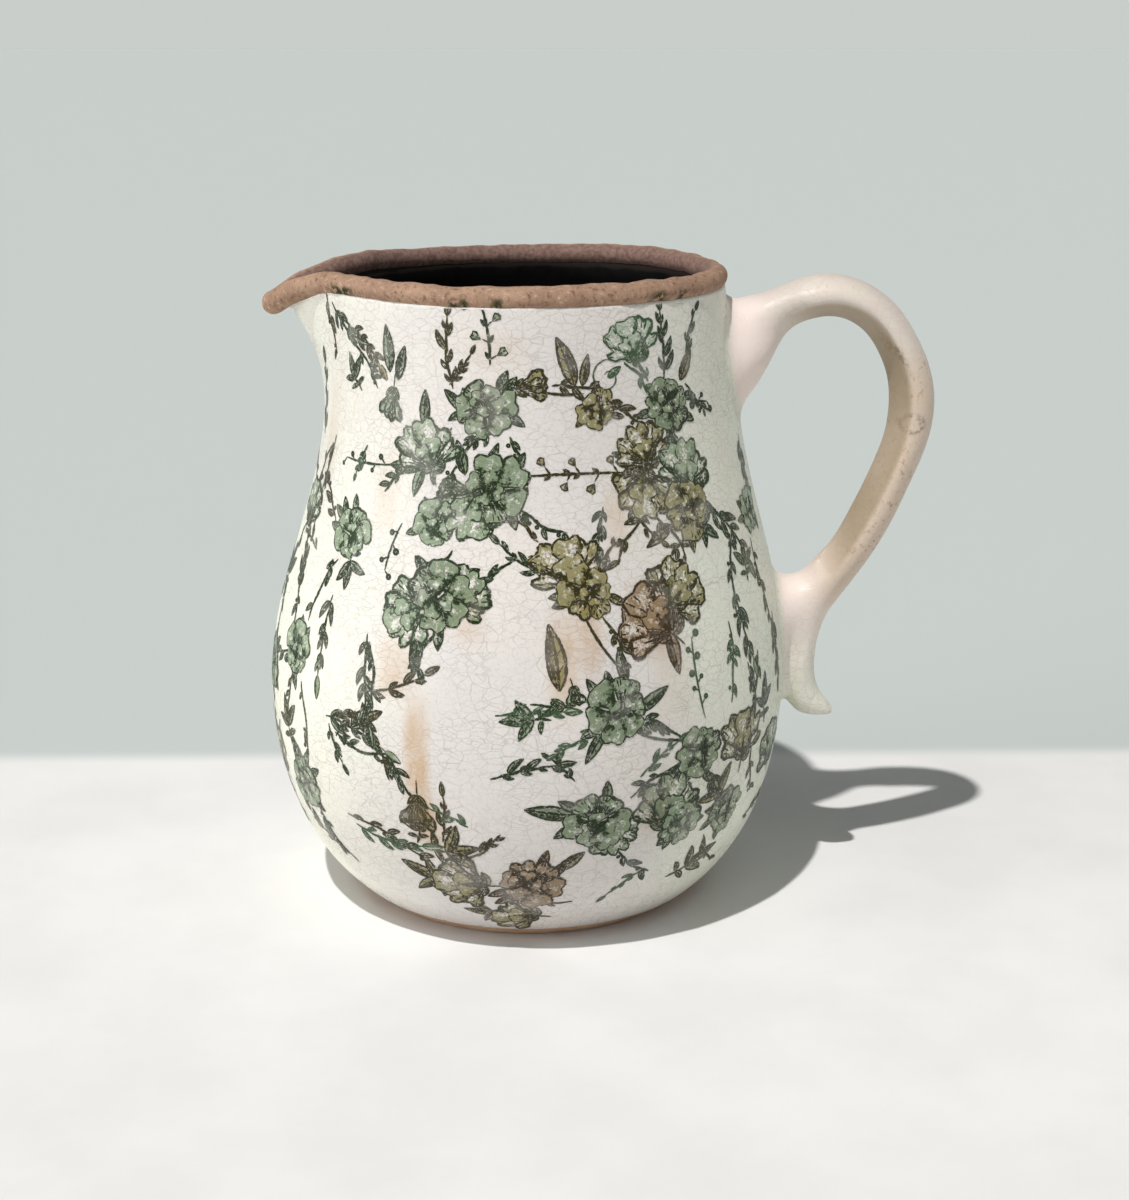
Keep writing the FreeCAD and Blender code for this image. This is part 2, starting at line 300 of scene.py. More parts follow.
class Paint:
    """A material's nodes, with a short call for each kind that the pitcher needs."""

    def __init__(self, name, specular):
        self.material = bpy.data.materials.new(name)
        self.material.use_nodes = True
        self.tree = self.material.node_tree
        self.tree.nodes.clear()
        output = self.tree.nodes.new("ShaderNodeOutputMaterial")
        self.shader = self.tree.nodes.new("ShaderNodeBsdfPrincipled")
        self.shader.inputs["Specular IOR Level"].default_value = specular
        self.tree.links.new(self.shader.outputs[0], output.inputs[0])
        self.place = self.tree.nodes.new("ShaderNodeTexCoord").outputs["Object"]

    def put(self, node, socket, value):
        """Give a socket a constant, or link it to another node's output."""
        socket = node.inputs[socket]
        if isinstance(value, bpy.types.NodeSocket):
            self.tree.links.new(value, socket)
        else:
            socket.default_value = value

    def vector(self, operation, *inputs):
        node = self.tree.nodes.new("ShaderNodeVectorMath")
        node.operation = operation
        for socket, value in enumerate(inputs):
            self.put(node, socket, value)
        return node.outputs[0]

    def maths(self, operation, a, b=0.0, clamp=False):
        node = self.tree.nodes.new("ShaderNodeMath")
        node.operation = operation
        node.use_clamp = clamp
        self.put(node, 0, a)
        self.put(node, 1, b)
        return node.outputs[0]

    def times(self, a, b, clamp=False):
        return self.maths("MULTIPLY", a, b, clamp)

    def plus(self, a, b):
        return self.maths("ADD", a, b)

    def ramp(self, value, low, high, start=0.0, end=1.0):
        """value spread from low..high to start..end, clamped, with soft ends."""
        node = self.tree.nodes.new("ShaderNodeMapRange")
        node.interpolation_type = "SMOOTHSTEP"
        for socket, number in (("Value", value), ("From Min", low), ("From Max", high),
                               ("To Min", start), ("To Max", end)):
            self.put(node, socket, number)
        return node.outputs["Result"]

    def mix(self, share, a, b):
        """Colour a turning into colour b; sockets 6 and 7 are the node's two colours."""
        node = self.tree.nodes.new("ShaderNodeMix")
        node.data_type = "RGBA"
        self.put(node, 0, share)
        self.put(node, 6, a)
        self.put(node, 7, b)
        return node.outputs[2]

    def noise(self, size, detail=3.0, roughness=0.55):
        """Fractal noise, 0 to 1, whose features are about size metres across."""
        node = self.tree.nodes.new("ShaderNodeTexNoise")
        self.put(node, "Vector", self.place)
        self.put(node, "Scale", 1 / size)
        self.put(node, "Detail", detail)
        self.put(node, "Roughness", roughness)
        return node.outputs["Fac"]

    def warped(self, size, amount):
        """Object position pushed about by noise, so that lines laid on it wander."""
        node = self.tree.nodes.new("ShaderNodeTexNoise")
        self.put(node, "Vector", self.place)
        self.put(node, "Scale", 1 / size)
        self.put(node, "Detail", 2.0)
        shift = self.vector("SUBTRACT", node.outputs["Color"], (0.5, 0.5, 0.5))
        return self.vector("MULTIPLY_ADD", shift, (amount, amount, amount), self.place)

    def cells(self, size, place):
        """Distance to the nearest edge of irregular cells, in metres."""
        node = self.tree.nodes.new("ShaderNodeTexVoronoi")
        node.feature = "DISTANCE_TO_EDGE"
        self.put(node, "Vector", place)
        self.put(node, "Scale", 1 / size)
        return self.times(node.outputs["Distance"], size)

    def value(self, name):
        """The number that point_values wrote for the point."""
        node = self.tree.nodes.new("ShaderNodeAttribute")
        node.attribute_name = name
        return node.outputs["Fac"]

    def axis(self, index):
        """Object position along X, Y or Z."""
        node = self.tree.nodes.new("ShaderNodeSeparateXYZ")
        self.put(node, 0, self.place)
        return node.outputs[index]

    def bump(self, height, depth, below=None):
        """A bumped normal, laid over the one below it if there is one."""
        node = self.tree.nodes.new("ShaderNodeBump")
        self.put(node, "Height", height)
        self.put(node, "Distance", depth)
        if below is not None:
            self.put(node, "Normal", below)
        return node.outputs[0]

    def finish(self, colour, normal, roughness):
        """The material with its colour, bumped normal and roughness in place."""
        self.put(self.shader, "Base Color", colour)
        self.put(self.shader, "Normal", normal)
        self.put(self.shader, "Roughness", roughness)
        return self.material


def craze(paint):
    """Craze lines of an aged glaze: 1 on a line. Long cracks, and finer ones that come and go."""
    place = paint.warped(7 * MM, 3.0 * MM)
    long_lines = paint.ramp(paint.cells(6.4 * MM, place), 0.03 * MM, 0.17 * MM, 1.0, 0.0)
    flatter = paint.vector("MULTIPLY", place, (0.66, 0.66, 1.3))
    short_lines = paint.ramp(paint.cells(2.8 * MM, flatter), 0.03 * MM, 0.15 * MM, 1.0, 0.0)
    coming = paint.ramp(paint.noise(16 * MM, 2.0), 0.36, 0.66, 0.15, 0.85)
    patches = paint.ramp(paint.noise(21 * MM), 0.34, 0.58, 0.15, 1.0)
    faint = paint.times(short_lines, paint.times(patches, 0.8))
    return paint.maths("MAXIMUM", paint.times(long_lines, coming), faint)


def glaze_colour(paint, lines):
    """Cream glaze: pinkish in the middle, painted lighter and yellower towards the spout as light falling
    from the left, and greener by the handle as a painted reflection of the grey-green room.
    """
    side = paint.plus(paint.axis(0), paint.times(paint.noise(45 * MM), 0.05))
    # Painted light: the spout's side, where the light comes from, is painted lighter and yellower
    colour = paint.mix(paint.ramp(side, -0.055, 0.0), tone(242, 243, 226), tone(210, 206, 203))
    # Painted reflection: the handle's side is tinted towards the grey-green of the room
    colour = paint.mix(paint.ramp(side, 0.045, 0.095), colour, tone(221, 226, 209))
    cloud = paint.ramp(paint.noise(30 * MM, 4.0), 0.35, 0.7)
    colour = paint.mix(paint.times(cloud, 0.35), colour, tone(222, 214, 205))
    speckle = paint.ramp(paint.noise(0.8 * MM, 2.0), 0.50, 0.68, 0.0, 0.30)
    colour = paint.mix(speckle, colour, tone(186, 174, 164))
    return paint.mix(paint.times(lines, 0.34), colour, tone(128, 118, 108))


def glaze_relief(paint, lines):
    """Craze lines as hairline grooves under a faint orange-peel surface."""
    peel = paint.bump(paint.noise(2.2 * MM, 2.0), 0.035 * MM)
    return paint.bump(paint.maths("SUBTRACT", 1.0, lines), 0.05 * MM, peel)


def glaze_gloss(paint):
    return paint.ramp(paint.noise(14 * MM, 4.0), 0.3, 0.7, 0.24, 0.42)


def aged(paint, colour):
    """Tea-coloured runs and rusty marks over a glaze colour, where the mesh is marked for them."""
    grain = paint.ramp(paint.noise(6 * MM, 5.0), 0.25, 0.75, 0.55, 1.2)
    for name, mark in (("stain", tone(188, 156, 120)), ("rust", tone(158, 104, 82))):
        share = paint.times(paint.value(name), grain, clamp=True)
        colour = paint.mix(share, colour, mark)
    return colour


def wall_glaze():
    paint = Paint("crackle_glaze", specular=0.3)
    lines = craze(paint)
    colour = aged(paint, glaze_colour(paint, lines))
    return paint.finish(colour, glaze_relief(paint, lines), glaze_gloss(paint))


def print_glaze(ink):
    """Transfer print under the same glaze: blotted, ragged ink, so that the cream shows through it."""
    tint, pen, strength = INKS[ink]
    paint = Paint("print_" + ink, specular=0.3)
    lines = craze(paint)
    ground = aged(paint, glaze_colour(paint, lines))
    blot = paint.maths("SUBTRACT", paint.noise(0.9 * MM, 4.0, roughness=0.6), 0.5)
    smear = paint.maths("SUBTRACT", paint.noise(1.5 * MM, 3.0, roughness=0.65), 0.5)
    dark = paint.plus(paint.value("dark"), paint.times(smear, 1.7))
    dark = paint.ramp(dark, 0.34, 0.74)
    solid = paint.plus(paint.value("solid"), paint.times(blot, 1.5))
    solid = paint.ramp(solid, 0.28, 0.62)
    faded = paint.ramp(paint.noise(13 * MM), 0.32, 0.52, 0.80, 1.0)
    solid = paint.times(solid, paint.ramp(dark, 0.0, 1.0, 0.86 * strength, 1.0))
    solid = paint.times(solid, faded)
    wash = paint.noise(1.9 * MM, 4.0, roughness=0.65)
    flat = paint.mix(paint.ramp(wash, 0.42, 0.28, 0.0, 0.55), tint, pen)
    flat = paint.mix(paint.ramp(wash, 0.54, 0.68, 0.0, 0.60), flat, ground)
    colour = paint.mix(solid, ground, paint.mix(dark, flat, pen))
    colour = paint.mix(paint.times(lines, 0.18), colour, tone(96, 88, 76))
    return paint.finish(colour, glaze_relief(paint, lines), glaze_gloss(paint))


def rim_clay():
    """Matte unglazed rim: grainy brown, darker and more purple on its inner side."""
    paint = Paint("rim_clay", specular=0.25)
    inner = paint.value("inner")
    grain = paint.noise(1.5 * MM, 5.0, roughness=0.7)
    cloud = paint.noise(9 * MM, 3.0)
    colour = paint.mix(paint.ramp(cloud, 0.3, 0.7), tone(150, 120, 100), tone(166, 136, 114))
    colour = paint.mix(paint.ramp(grain, 0.5, 0.72), colour, tone(104, 78, 62))
    colour = paint.mix(paint.ramp(grain, 0.44, 0.30), colour, tone(192, 166, 144))
    dark = paint.mix(paint.ramp(grain, 0.35, 0.65), tone(136, 109, 99), tone(106, 83, 76))
    colour = paint.mix(inner, colour, dark)
    spill = paint.times(paint.value("ink"), paint.ramp(paint.noise(2.0 * MM, 3.0), 0.40, 0.54))
    colour = paint.mix(spill, colour, tone(48, 50, 24))
    relief = paint.bump(grain, 0.25 * MM, paint.bump(cloud, 0.4 * MM))
    return paint.finish(colour, relief, 0.86)


def liner_glaze():
    """Near-black glaze, with a grey-brown fringe where it thins out and a pale channel in the spout."""
    paint = Paint("dark_glaze", specular=0.05)
    break_up = paint.noise(5 * MM, 4.0)
    colour = paint.mix(paint.ramp(break_up, 0.3, 0.7), tone(8, 7, 7), tone(14, 12, 12))
    fringe = paint.plus(paint.value("fringe"), paint.times(break_up, 0.5))
    colour = paint.mix(paint.ramp(fringe, 1.0, 1.25), colour, tone(34, 28, 26))
    channel = paint.plus(paint.value("channel"), paint.times(break_up, 0.8))
    colour = paint.mix(paint.ramp(channel, 0.65, 1.35), colour, tone(176, 148, 138))
    return paint.finish(colour, paint.bump(break_up, 0.15 * MM), 0.5)


def bare_clay():
    """Unglazed clay of the foot ring, scuffed where it stands."""
    paint = Paint("bare_clay", specular=0.2)
    grain = paint.noise(1.1 * MM, 5.0, roughness=0.7)
    cloud = paint.noise(12 * MM)
    colour = paint.mix(paint.ramp(cloud, 0.3, 0.7), tone(196, 164, 136), tone(176, 140, 112))
    colour = paint.mix(paint.ramp(grain, 0.55, 0.75), colour, tone(128, 98, 78))
    worn = paint.ramp(paint.axis(2), 0.0, 1.2 * MM, 0.45, 0.0)
    colour = paint.mix(worn, colour, tone(150, 134, 118))
    return paint.finish(colour, paint.bump(grain, 0.2 * MM), 0.88)


def handle_glaze():
    """Cream-pink glaze of the handle, tan down its outer side, partly as painted shade, with freckles, a
    burnt ring mark, painted shade along a crease, a lighter pink at the roots that is partly a painted
    highlight, and painted shade on the inner face.
    """
    paint = Paint("handle_glaze", specular=0.4)
    lines = craze(paint)
    cloud = paint.noise(20 * MM, 4.0)
    colour = paint.mix(paint.ramp(cloud, 0.35, 0.65), tone(210, 196, 188), tone(211, 203, 191))
    # Tan on the strap's lower and outer side: partly the glaze's own warmer colour, partly painted shade
    tan = paint.times(paint.value("tan"), paint.ramp(cloud, 0.25, 0.7, 0.6, 1.0))
    colour = paint.mix(tan, colour, tone(203, 185, 167))
    freckle = paint.ramp(paint.noise(1.5 * MM, 3.0), 0.56, 0.70)
    freckle = paint.times(freckle, paint.ramp(paint.noise(15 * MM), 0.40, 0.62))
    freckle = paint.times(freckle, paint.ramp(paint.value("tan"), 0.0, 1.0, 0.25, 0.75))
    colour = paint.mix(freckle, colour, tone(164, 128, 98))
    # A burnt ring mark, and painted shade along the crease between the strap's side and its inner face
    burn_and_crease_shade = paint.times(paint.value("burn_and_crease_shade"), paint.ramp(paint.noise(1.2 * MM, 4.0), 0.35, 0.6))
    colour = paint.mix(burn_and_crease_shade, colour, tone(112, 84, 58))
    colour = paint.mix(paint.times(lines, 0.12), colour, tone(150, 130, 118))
    # Lighter pink at the roots: partly the glaze's own pinkish tone, partly a painted highlight
    colour = paint.mix(paint.value("pink"), colour, tone(235, 220, 212))
    # Painted shade: the strap's inner face, which is turned towards the wall, is darkened
    under = paint.times(paint.value("under"), paint.ramp(cloud, 0.3, 0.7, 0.6, 0.85))
    colour = paint.mix(under, colour, tone(158, 140, 116))
    colour = paint.mix(paint.value("root"), colour, glaze_colour(paint, lines))
    gloss = paint.ramp(paint.noise(14 * MM, 4.0), 0.3, 0.7, 0.36, 0.52)
    return paint.finish(colour, glaze_relief(paint, lines), gloss)


# ---------------------------------------------------------------- wall, liner, rim, foot

def make_wall(material):
    """The fired body as one closed skin: underside, outer wall, a top that runs into the rim, and inside."""
    liner_space = 0.75 * MM
    rings = [column_ring(wall_outer[:, 0] * share, foot_top) for share in (0.3, 0.6, 0.85)]
    outside = len(rings)
    rings += [list(wall_points[:, j]) for j in range(OUTER_ROWS)]
    rings.append(column_ring(rim_radius, rim_height - 2 * TUCK))
    for j in reversed(range(INNER_ROWS)):
        height = floor_top + (seat - floor_top) * inner_share[j] - liner_space * (1 - inner_share[j])
        rings.append(column_ring(wall_inner[:, j] + liner_space, height))
    for share in (0.6, 0.3):
        rings.append(column_ring(wall_inner[:, 0] * share, floor_top - liner_space))
    points, faces = ring_grid(rings, (0, 0, foot_top), (0, 0, floor_top - liner_space))
    wall = mesh_piece("vessel_skin", points, faces)
    block = slice(outside * COLUMNS, (outside + OUTER_ROWS) * COLUMNS)
    far_from_stains = -1000.0
    degrees, heights = np.zeros(len(points)), np.full(len(points), far_from_stains)
    degrees[block] = np.tile(np.degrees(angles), OUTER_ROWS)
    heights[block] = outer_heights.T.reshape(-1) / MM
    mark_stains(wall, degrees, heights)
    dress(wall, material, "crackle_glaze", "vessel_body")


def mark_stains(piece, degrees, heights):
    """Write how stained and how rusty each point is, from its angle in degrees and height in mm."""
    for name, marks in (("stain", STAINS), ("rust", RUST)):
        share = np.zeros(len(degrees))
        for angle, height, wide, tall, strength in marks:
            share += soft_spot(degrees, heights, angle, height, wide, tall) * strength
        point_values(piece, name, np.clip(share, 0, 1))


def soft_spot(degrees, heights, angle, height, wide, tall):
    """A soft patch on the wall: its angle and width in degrees, its height and length in mm."""
    offset = (degrees - angle + 180) % 360 - 180
    return np.exp(-((offset / wide) ** 4 + ((heights - height) / tall) ** 4))


# Tea-coloured runs and reddish marks: angle, height, half width (degrees), half length (mm), strength
STAINS = (
    (246.5, 63, 2.6, 19, 0.75), (249, 45, 3.0, 9, 0.5), (241, 92, 4.5, 8, 0.45),
    (277, 96, 3.0, 14, 0.55), (283, 104, 2.6, 11, 0.6), (297, 106, 5.0, 10, 0.45),
    (257, 108, 3.5, 7, 0.35), (232, 140, 4.0, 12, 0.25), (301, 88, 4.5, 12, 0.2),
    (203, 150, 4.0, 16, 0.3), (262, 182, 7.0, 5, 0.18), (291, 134, 3.0, 9, 0.35),
    (40, 120, 4.0, 16, 0.4), (85, 80, 3.5, 20, 0.5), (128, 130, 5.0, 12, 0.35), (150, 70, 3.0, 18, 0.4),
)
RUST = (
    (298, 103, 3.5, 7, 0.30), (297, 47, 3.4, 7, 0.35), (250, 105, 2.4, 4, 0.15), (283, 97, 1.8, 8, 0.15),
    (75, 110, 3.0, 8, 0.25), (140, 60, 3.0, 7, 0.25),
)


def make_liner(material):
    """The dark glaze coat: a thin closed shell over the whole inside, up into the rim."""
    coat = 0.7 * MM
    inside_rim = 2.2 * MM
    corner = 20 * MM
    fringe_depth = 1.6 * MM
    channel_start, channel_end = -47 * MM, -68 * MM
    channel_foot, channel_top = 158 * MM, 172 * MM
    rings = [column_ring(rim_radius - inside_rim, rim_height - TUCK)]
    for j in reversed(range(INNER_ROWS)):
        rings.append(column_ring(wall_inner[:, j], floor_top + (seat - floor_top) * inner_share[j]))
    for share in (0.8, 0.6, 0.4, 0.2):
        rings.append(column_ring(wall_inner[:, 0] * share, floor_top))
    points, faces = ring_grid(rings, None, (0, 0, floor_top))
    front = np.array(points, float)
    count = len(front)
    out = front * (1, 1, 0)
    out /= np.maximum(np.linalg.norm(out, axis=1, keepdims=True), 1e-9)
    low = 1 - np.minimum((front[:, 2:] - floor_top) / corner, 1)
    back = front + coat * ((1 - low) * out + low * (0.4 * out - np.array([0, 0, 0.9])))
    faces += [tuple(count + i for i in reversed(f)) for f in faces]
    for i in range(COLUMNS):
        n = (i + 1) % COLUMNS
        faces.append((n, i, count + i, count + n))
    liner = mesh_piece("inner_glaze_coat", np.concatenate([front, back]), faces)
    depth = seat[np.arange(count) % COLUMNS] - front[:, 2]
    in_spout = smoothstep(channel_start, channel_end, front[:, 0])
    in_spout *= smoothstep(channel_foot, channel_top, front[:, 2])
    point_values(liner, "fringe", np.tile(np.clip(1 - depth / fringe_depth, 0, 1), 2))
    point_values(liner, "channel", np.tile(in_spout, 2))
    dress(liner, material, "dark_glaze", "inner_glaze")


# Half the coil's width in mm before it swells and thins, and where it lies flatter: angle and half width
RIM_HALF_WIDTH = 3.7
RIM_FLATTER = (222, 22)
# Where the rim was thumbed up or down: angle and half width in degrees, lift in mm
RIM_LIFTS = ((50, 25, 0.9), (150, 16, 1.0), (262, 40, -0.45), (180, 15, -0.9))
# Where the print ran up onto the rim's lower edge: angle and half width in degrees
RIM_SPILLS = (
    (204, 3), (210, 4), (250, 1.6), (253, 1.2), (262, 1.8), (308, 3), (317, 2), (60, 3), (98, 2), (140, 4),
)


def make_rim(material):
    """The rolled rim, a clay coil that was laid by hand: it swells, dips and wavers a little."""
    steps = 900
    section = 36
    turn = np.arange(steps) / steps * 2 * math.pi
    phi = turn + NOSE_CROWDING * np.sin(turn)
    radius, height, half = (np.interp(phi, full_turn, around(a)) for a in (rim_radius, rim_height, rim_half))
    sway = np.array([noise.noise(Vector((3 * math.cos(a), 3 * math.sin(a), 0.3))) for a in phi])
    waver = np.array([noise.noise(Vector((9 * math.cos(a), 9 * math.sin(a), 5.1))) for a in phi])

    def bell(at, width):
        return np.exp(-(((np.degrees(phi) - at + 180) % 360 - 180) / width) ** 2)

    lift = 0.35 * waver + 0.3 * sway + sum(up * bell(at, width) for at, width, up in RIM_LIFTS)
    centre = np.stack([radius * np.cos(phi), radius * np.sin(phi), height + lift * MM], axis=1)
    along = np.roll(centre, -1, axis=0) - np.roll(centre, 1, axis=0)
    along[:, 2] = 0
    along /= np.linalg.norm(along, axis=1, keepdims=True)
    side = np.stack([along[:, 1], -along[:, 0], np.zeros(steps)], axis=1)
    nose = bell(180, 15)
    half_width = (RIM_HALF_WIDTH + 0.22 * sway - 0.18 * waver - 0.5 * nose) * MM
    half_height = half * (1 - 0.28 * nose) + (0.18 * waver - 0.35 * bell(*RIM_FLATTER)) * MM
    spill = np.clip(sum(bell(at, width) for at, width in RIM_SPILLS), 0, 1)
    points, faces, inner, ink = [], [], [], []
    for k in range(section):
        t = 2 * math.pi * k / section
        ring = centre + side * (half_width * math.cos(t))[:, None]
        ring[:, 2] += half_height * math.sin(t)
        for i, p in enumerate(ring):
            outward = side[i] * math.cos(t) + np.array([0, 0, math.sin(t)])
            grain = noise.noise(Vector(p) / (2.4 * MM)) * 0.10 + noise.noise(Vector(p) / (7 * MM)) * 0.14
            points.append(p + outward * grain * MM)
            inner.append(float(smoothstep(0.15, -0.55, math.cos(t) + 0.15 * sway[i])))
            ink.append(spill[i] * float(smoothstep(0.35, -0.15, math.sin(t)) * (math.cos(t) > 0)))
            n, m = (i + 1) % steps, (k + 1) % section
            faces.append((k * steps + i, k * steps + n, m * steps + n, m * steps + i))
    rim = mesh_piece("rim_coil", points, faces)
    point_values(rim, "inner", inner)
    point_values(rim, "ink", ink)
    dress(rim, material, "rim_clay", "rim_band")


# ---------------------------------------------------------------- handle

HANDLE_NODES = ("handle", "handle_tail", "upper_joint_coil", "lower_joint_coil")
# How far round, below the tail and into the wall the patch behind the handle reaches
PATCH_DEGREES = 34
PATCH_BELOW = 12 * MM
PATCH_DEPTH = 5 * MM
VOXEL = 0.75 * MM
# How thick the coils are, and how far the open edges of the other pieces are turned in
COIL_DEPTH = 0.8 * MM
# The handle is kept where it stands this far out of the wall, and its edge is sunk this far into it
PROUD = 0.10 * MM
SUNK = 0.25 * MM
# Where the strap's soft ridge runs, as a share of its half thickness out from its middle line
RIDGE = -0.15
# Rounds of smoothing for the fillets, and for the rest of the handle
FILLET_ROUNDS = 130
SOFT_ROUNDS = 4
# A burnt ring mark and painted shade along a crease, on the camera's side of the strap: where they are, along
# X and up, in millimetres
BURNT_RING = (119, 151)
CREASE_SHADE = (112.5, 174)


def between(grid, column, row):
    """Values of a wall grid between its points, at columns and rows that need not be whole."""
    i, j = np.floor(column).astype(int) % COLUMNS, np.clip(np.floor(row).astype(int), 0, OUTER_ROWS - 2)
    u, v = (column - np.floor(column))[..., None], (row - j)[..., None]
    n = (i + 1) % COLUMNS
    low = grid[i, j] * (1 - u) + grid[n, j] * u
    high = grid[i, j + 1] * (1 - u) + grid[n, j + 1] * u
    return low * (1 - v) + high * v


def wall_radius(points):
    """Radius of the wall at the angle and height of each point."""
    phi = np.arctan2(points[:, 1], points[:, 0]) % (2 * math.pi)
    column = np.interp(phi, full_turn, np.arange(COLUMNS + 1))
    i = np.floor(column).astype(int) % COLUMNS
    share = (points[:, 2] - foot_top) / (seat[i] - foot_top)
    return between(wall_outer[..., None], column, np.interp(share, row_share, np.arange(OUTER_ROWS)))[:, 0]


def wall_patch():
    """A closed slab of the wall behind the handle, for its roots to run into."""
    from_handle = (np.degrees(angles) + 180) % 360 - 180
    near = sorted(np.flatnonzero(np.abs(from_handle) < PATCH_DEGREES), key=lambda i: from_handle[i])
    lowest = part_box("handle_tail")[0].z - PATCH_BELOW
    rows = [j for j in range(OUTER_ROWS - 2) if outer_heights[0, j] > lowest]
    points, faces = [], []
    for depth in (0, PATCH_DEPTH):
        for i in near:
            for j in rows:
                points.append(wall_points[i, j] - wall_normals[i, j] * depth)
    wide, tall = len(near), len(rows)
    back = wide * tall
    for a in range(wide - 1):
        for b in range(tall - 1):
            p = a * tall + b
            faces.append((p, p + tall, p + tall + 1, p + 1))
            faces.append((back + p + 1, back + p + tall + 1, back + p + tall, back + p))
    edge = [a * tall for a in range(wide)] + [(wide - 1) * tall + b for b in range(1, tall)]
    edge += [a * tall + tall - 1 for a in range(wide - 2, -1, -1)] + list(range(tall - 2, 0, -1))
    for k, p in enumerate(edge):
        q = edge[(k + 1) % len(edge)]
        faces.append((q, p, back + p, back + q))
    return points, faces


def relax(points, edges, share, rounds):
    """Move each point towards the middle of its neighbours, by its own share, some rounds over."""
    size = len(points)
    count = np.maximum(np.bincount(edges.ravel(), minlength=size), 1)
    for _ in range(rounds):
        total = np.stack([
            np.bincount(edges[:, 0], points[edges[:, 1], k], size)
            + np.bincount(edges[:, 1], points[edges[:, 0], k], size) for k in range(3)
        ], axis=1)
        points = points + (total / count[:, None] - points) * share[:, None]
    return points


def strap_line():
    """Middle line of the loop seen from the side, its outward normals and half thickness."""
    tree = tree_of("handle")
    low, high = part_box("handle")
    heart = Vector((low.x + 0.42 * (high.x - low.x), 0, (low.z + high.z) / 2))
    upper_root, lower_root, rays = 124, -86, 90
    middle, half = [], []
    for turn in np.radians(np.linspace(upper_root, lower_root, rays)):
        ray = Vector((math.cos(turn), 0, math.sin(turn)))
        near = tree.ray_cast(heart, ray)[0]
        far = tree.ray_cast(heart + ray * OUTSIDE, -ray)[0]
        if near is None or far is None:
            continue
        middle.append(((near.x + far.x) / 2, (near.z + far.z) / 2))
        half.append(((far - near).length / 2, math.cos(turn), math.sin(turn)))
    middle, half = np.array(middle), np.array(half)
    for k in (0, 1):
        middle[1:-1, k] = (middle[:-2, k] + middle[1:-1, k] + middle[2:, k]) / 3
    along = np.gradient(middle, axis=0)
    along /= np.hypot(*along.T)[:, None]
    normal = left_of(along)
    normal *= np.sign((normal * half[:, 1:]).sum(axis=1))[:, None]
    thickness = half[:, 0] * np.abs((normal * half[:, 1:]).sum(axis=1))
    return middle, normal, thickness


def nearest(tree, points):
    """How far each point is from the tree's surface."""
    return np.array([tree.find_nearest(Vector(p))[3] for p in points])


def strap_depth(points):
    """Where each point lies across the strap, from -1 inside to 1 outside, and whether it is on it at all."""
    middle, normal, half = strap_line()
    squares = ((points[:, None, [0, 2]] - middle[None]) ** 2).sum(axis=2)
    k = squares.argmin(axis=1)
    depth = ((points[:, [0, 2]] - middle[k]) * normal[k]).sum(axis=1) / half[k]
    on_strap = (np.sqrt(squares.min(axis=1)) < 1.25 * half[k]) & (k > 1) & (k < len(middle) - 2)
    return np.where(on_strap, depth, 1), on_strap


def strap_section(points, wall_gap):
    """Give the strap its soft ridge: round outside, and falling away flatter to its inner face."""
    depth, on_strap = strap_depth(points)
    fall = np.clip((RIDGE - depth) / (1 + RIDGE), 0, 1)
    oval = np.sqrt(np.maximum(1 - depth ** 2, 0))
    flat = math.sqrt(1 - RIDGE ** 2) * (1 - fall) ** 0.72
    change = np.where((depth < RIDGE) & (oval > 0.05), flat / np.maximum(oval, 0.05), 1)
    free = smoothstep(6 * MM, 16 * MM, wall_gap) * on_strap
    points[:, 1] *= 1 + (np.clip(change, 0.4, 1.1) - 1) * free
    return points


def handle_surface():
    """One soft surface over the handle, its tail, both joint coils and the wall behind them."""
    body = bmesh.new()
    for name in HANDLE_NODES:
        body.from_mesh(nodes[name].data)
    points, faces = wall_patch()
    verts = [body.verts.new(p) for p in points]
    for face in faces:
        body.faces.new([verts[i] for i in face])
    mesh = bpy.data.meshes.new("handle_blank")
    body.to_mesh(mesh)
    body.free()
    blank = linked("handle_blank", mesh)
    remesh = blank.modifiers.new("remesh", "REMESH")
    remesh.mode = "VOXEL"
    remesh.voxel_size = VOXEL
    remesh.adaptivity = 0
    bpy.context.view_layer.update()
    shaped = bpy.data.meshes.new_from_object(blank.evaluated_get(bpy.context.evaluated_depsgraph_get()))
    bpy.data.objects.remove(blank)
    points = np.array([v.co for v in shaped.vertices])
    edges = np.array([e.vertices[:] for e in shaped.edges])
    faces = [tuple(p.vertices) for p in shaped.polygons]
    return points, edges, faces


def soften_handle(points, edges):
    """Fillets where the coils were smoothed in, and the small unevenness of a pulled handle."""
    gap = np.hypot(points[:, 0], points[:, 1]) - wall_radius(points)
    points = strap_section(points, gap)
    to_strap = nearest(tree_of("handle", "handle_tail"), points)
    to_coils = nearest(tree_of("upper_joint_coil", "lower_joint_coil"), points)
    to_any = np.minimum(to_strap, to_coils)
    at_wall = 1 - smoothstep(2.0 * MM, 7.0 * MM, np.maximum(np.abs(gap), to_any))
    at_coil = 1 - smoothstep(2.5 * MM, 9.0 * MM, np.maximum(to_strap, to_coils))
    at_coil *= smoothstep(-2 * MM, 0, gap)
    points = relax(points, edges, 0.5 * np.maximum(at_wall, at_coil), FILLET_ROUNDS)
    free = smoothstep(0.5 * MM, 4 * MM, np.hypot(points[:, 0], points[:, 1]) - wall_radius(points))
    points = relax(points, edges, 0.5 * free, SOFT_ROUNDS)
    away = points - np.array([0, 0, points[:, 2].mean()])
    away /= np.linalg.norm(away, axis=1, keepdims=True)
    wobble = np.array([noise.noise(Vector(p) / (17 * MM)) for p in points])
    return points + away * (wobble * 0.35 * MM * free)[:, None]


def open_points(faces):
    """The points on edges that only one of these faces has."""
    uses = {}
    for f in faces:
        for edge in map(frozenset, zip(f, f[1:] + f[:1])):
            uses[edge] = uses.get(edge, 0) + 1
    return {i for edge, count in uses.items() if count == 1 for i in edge}


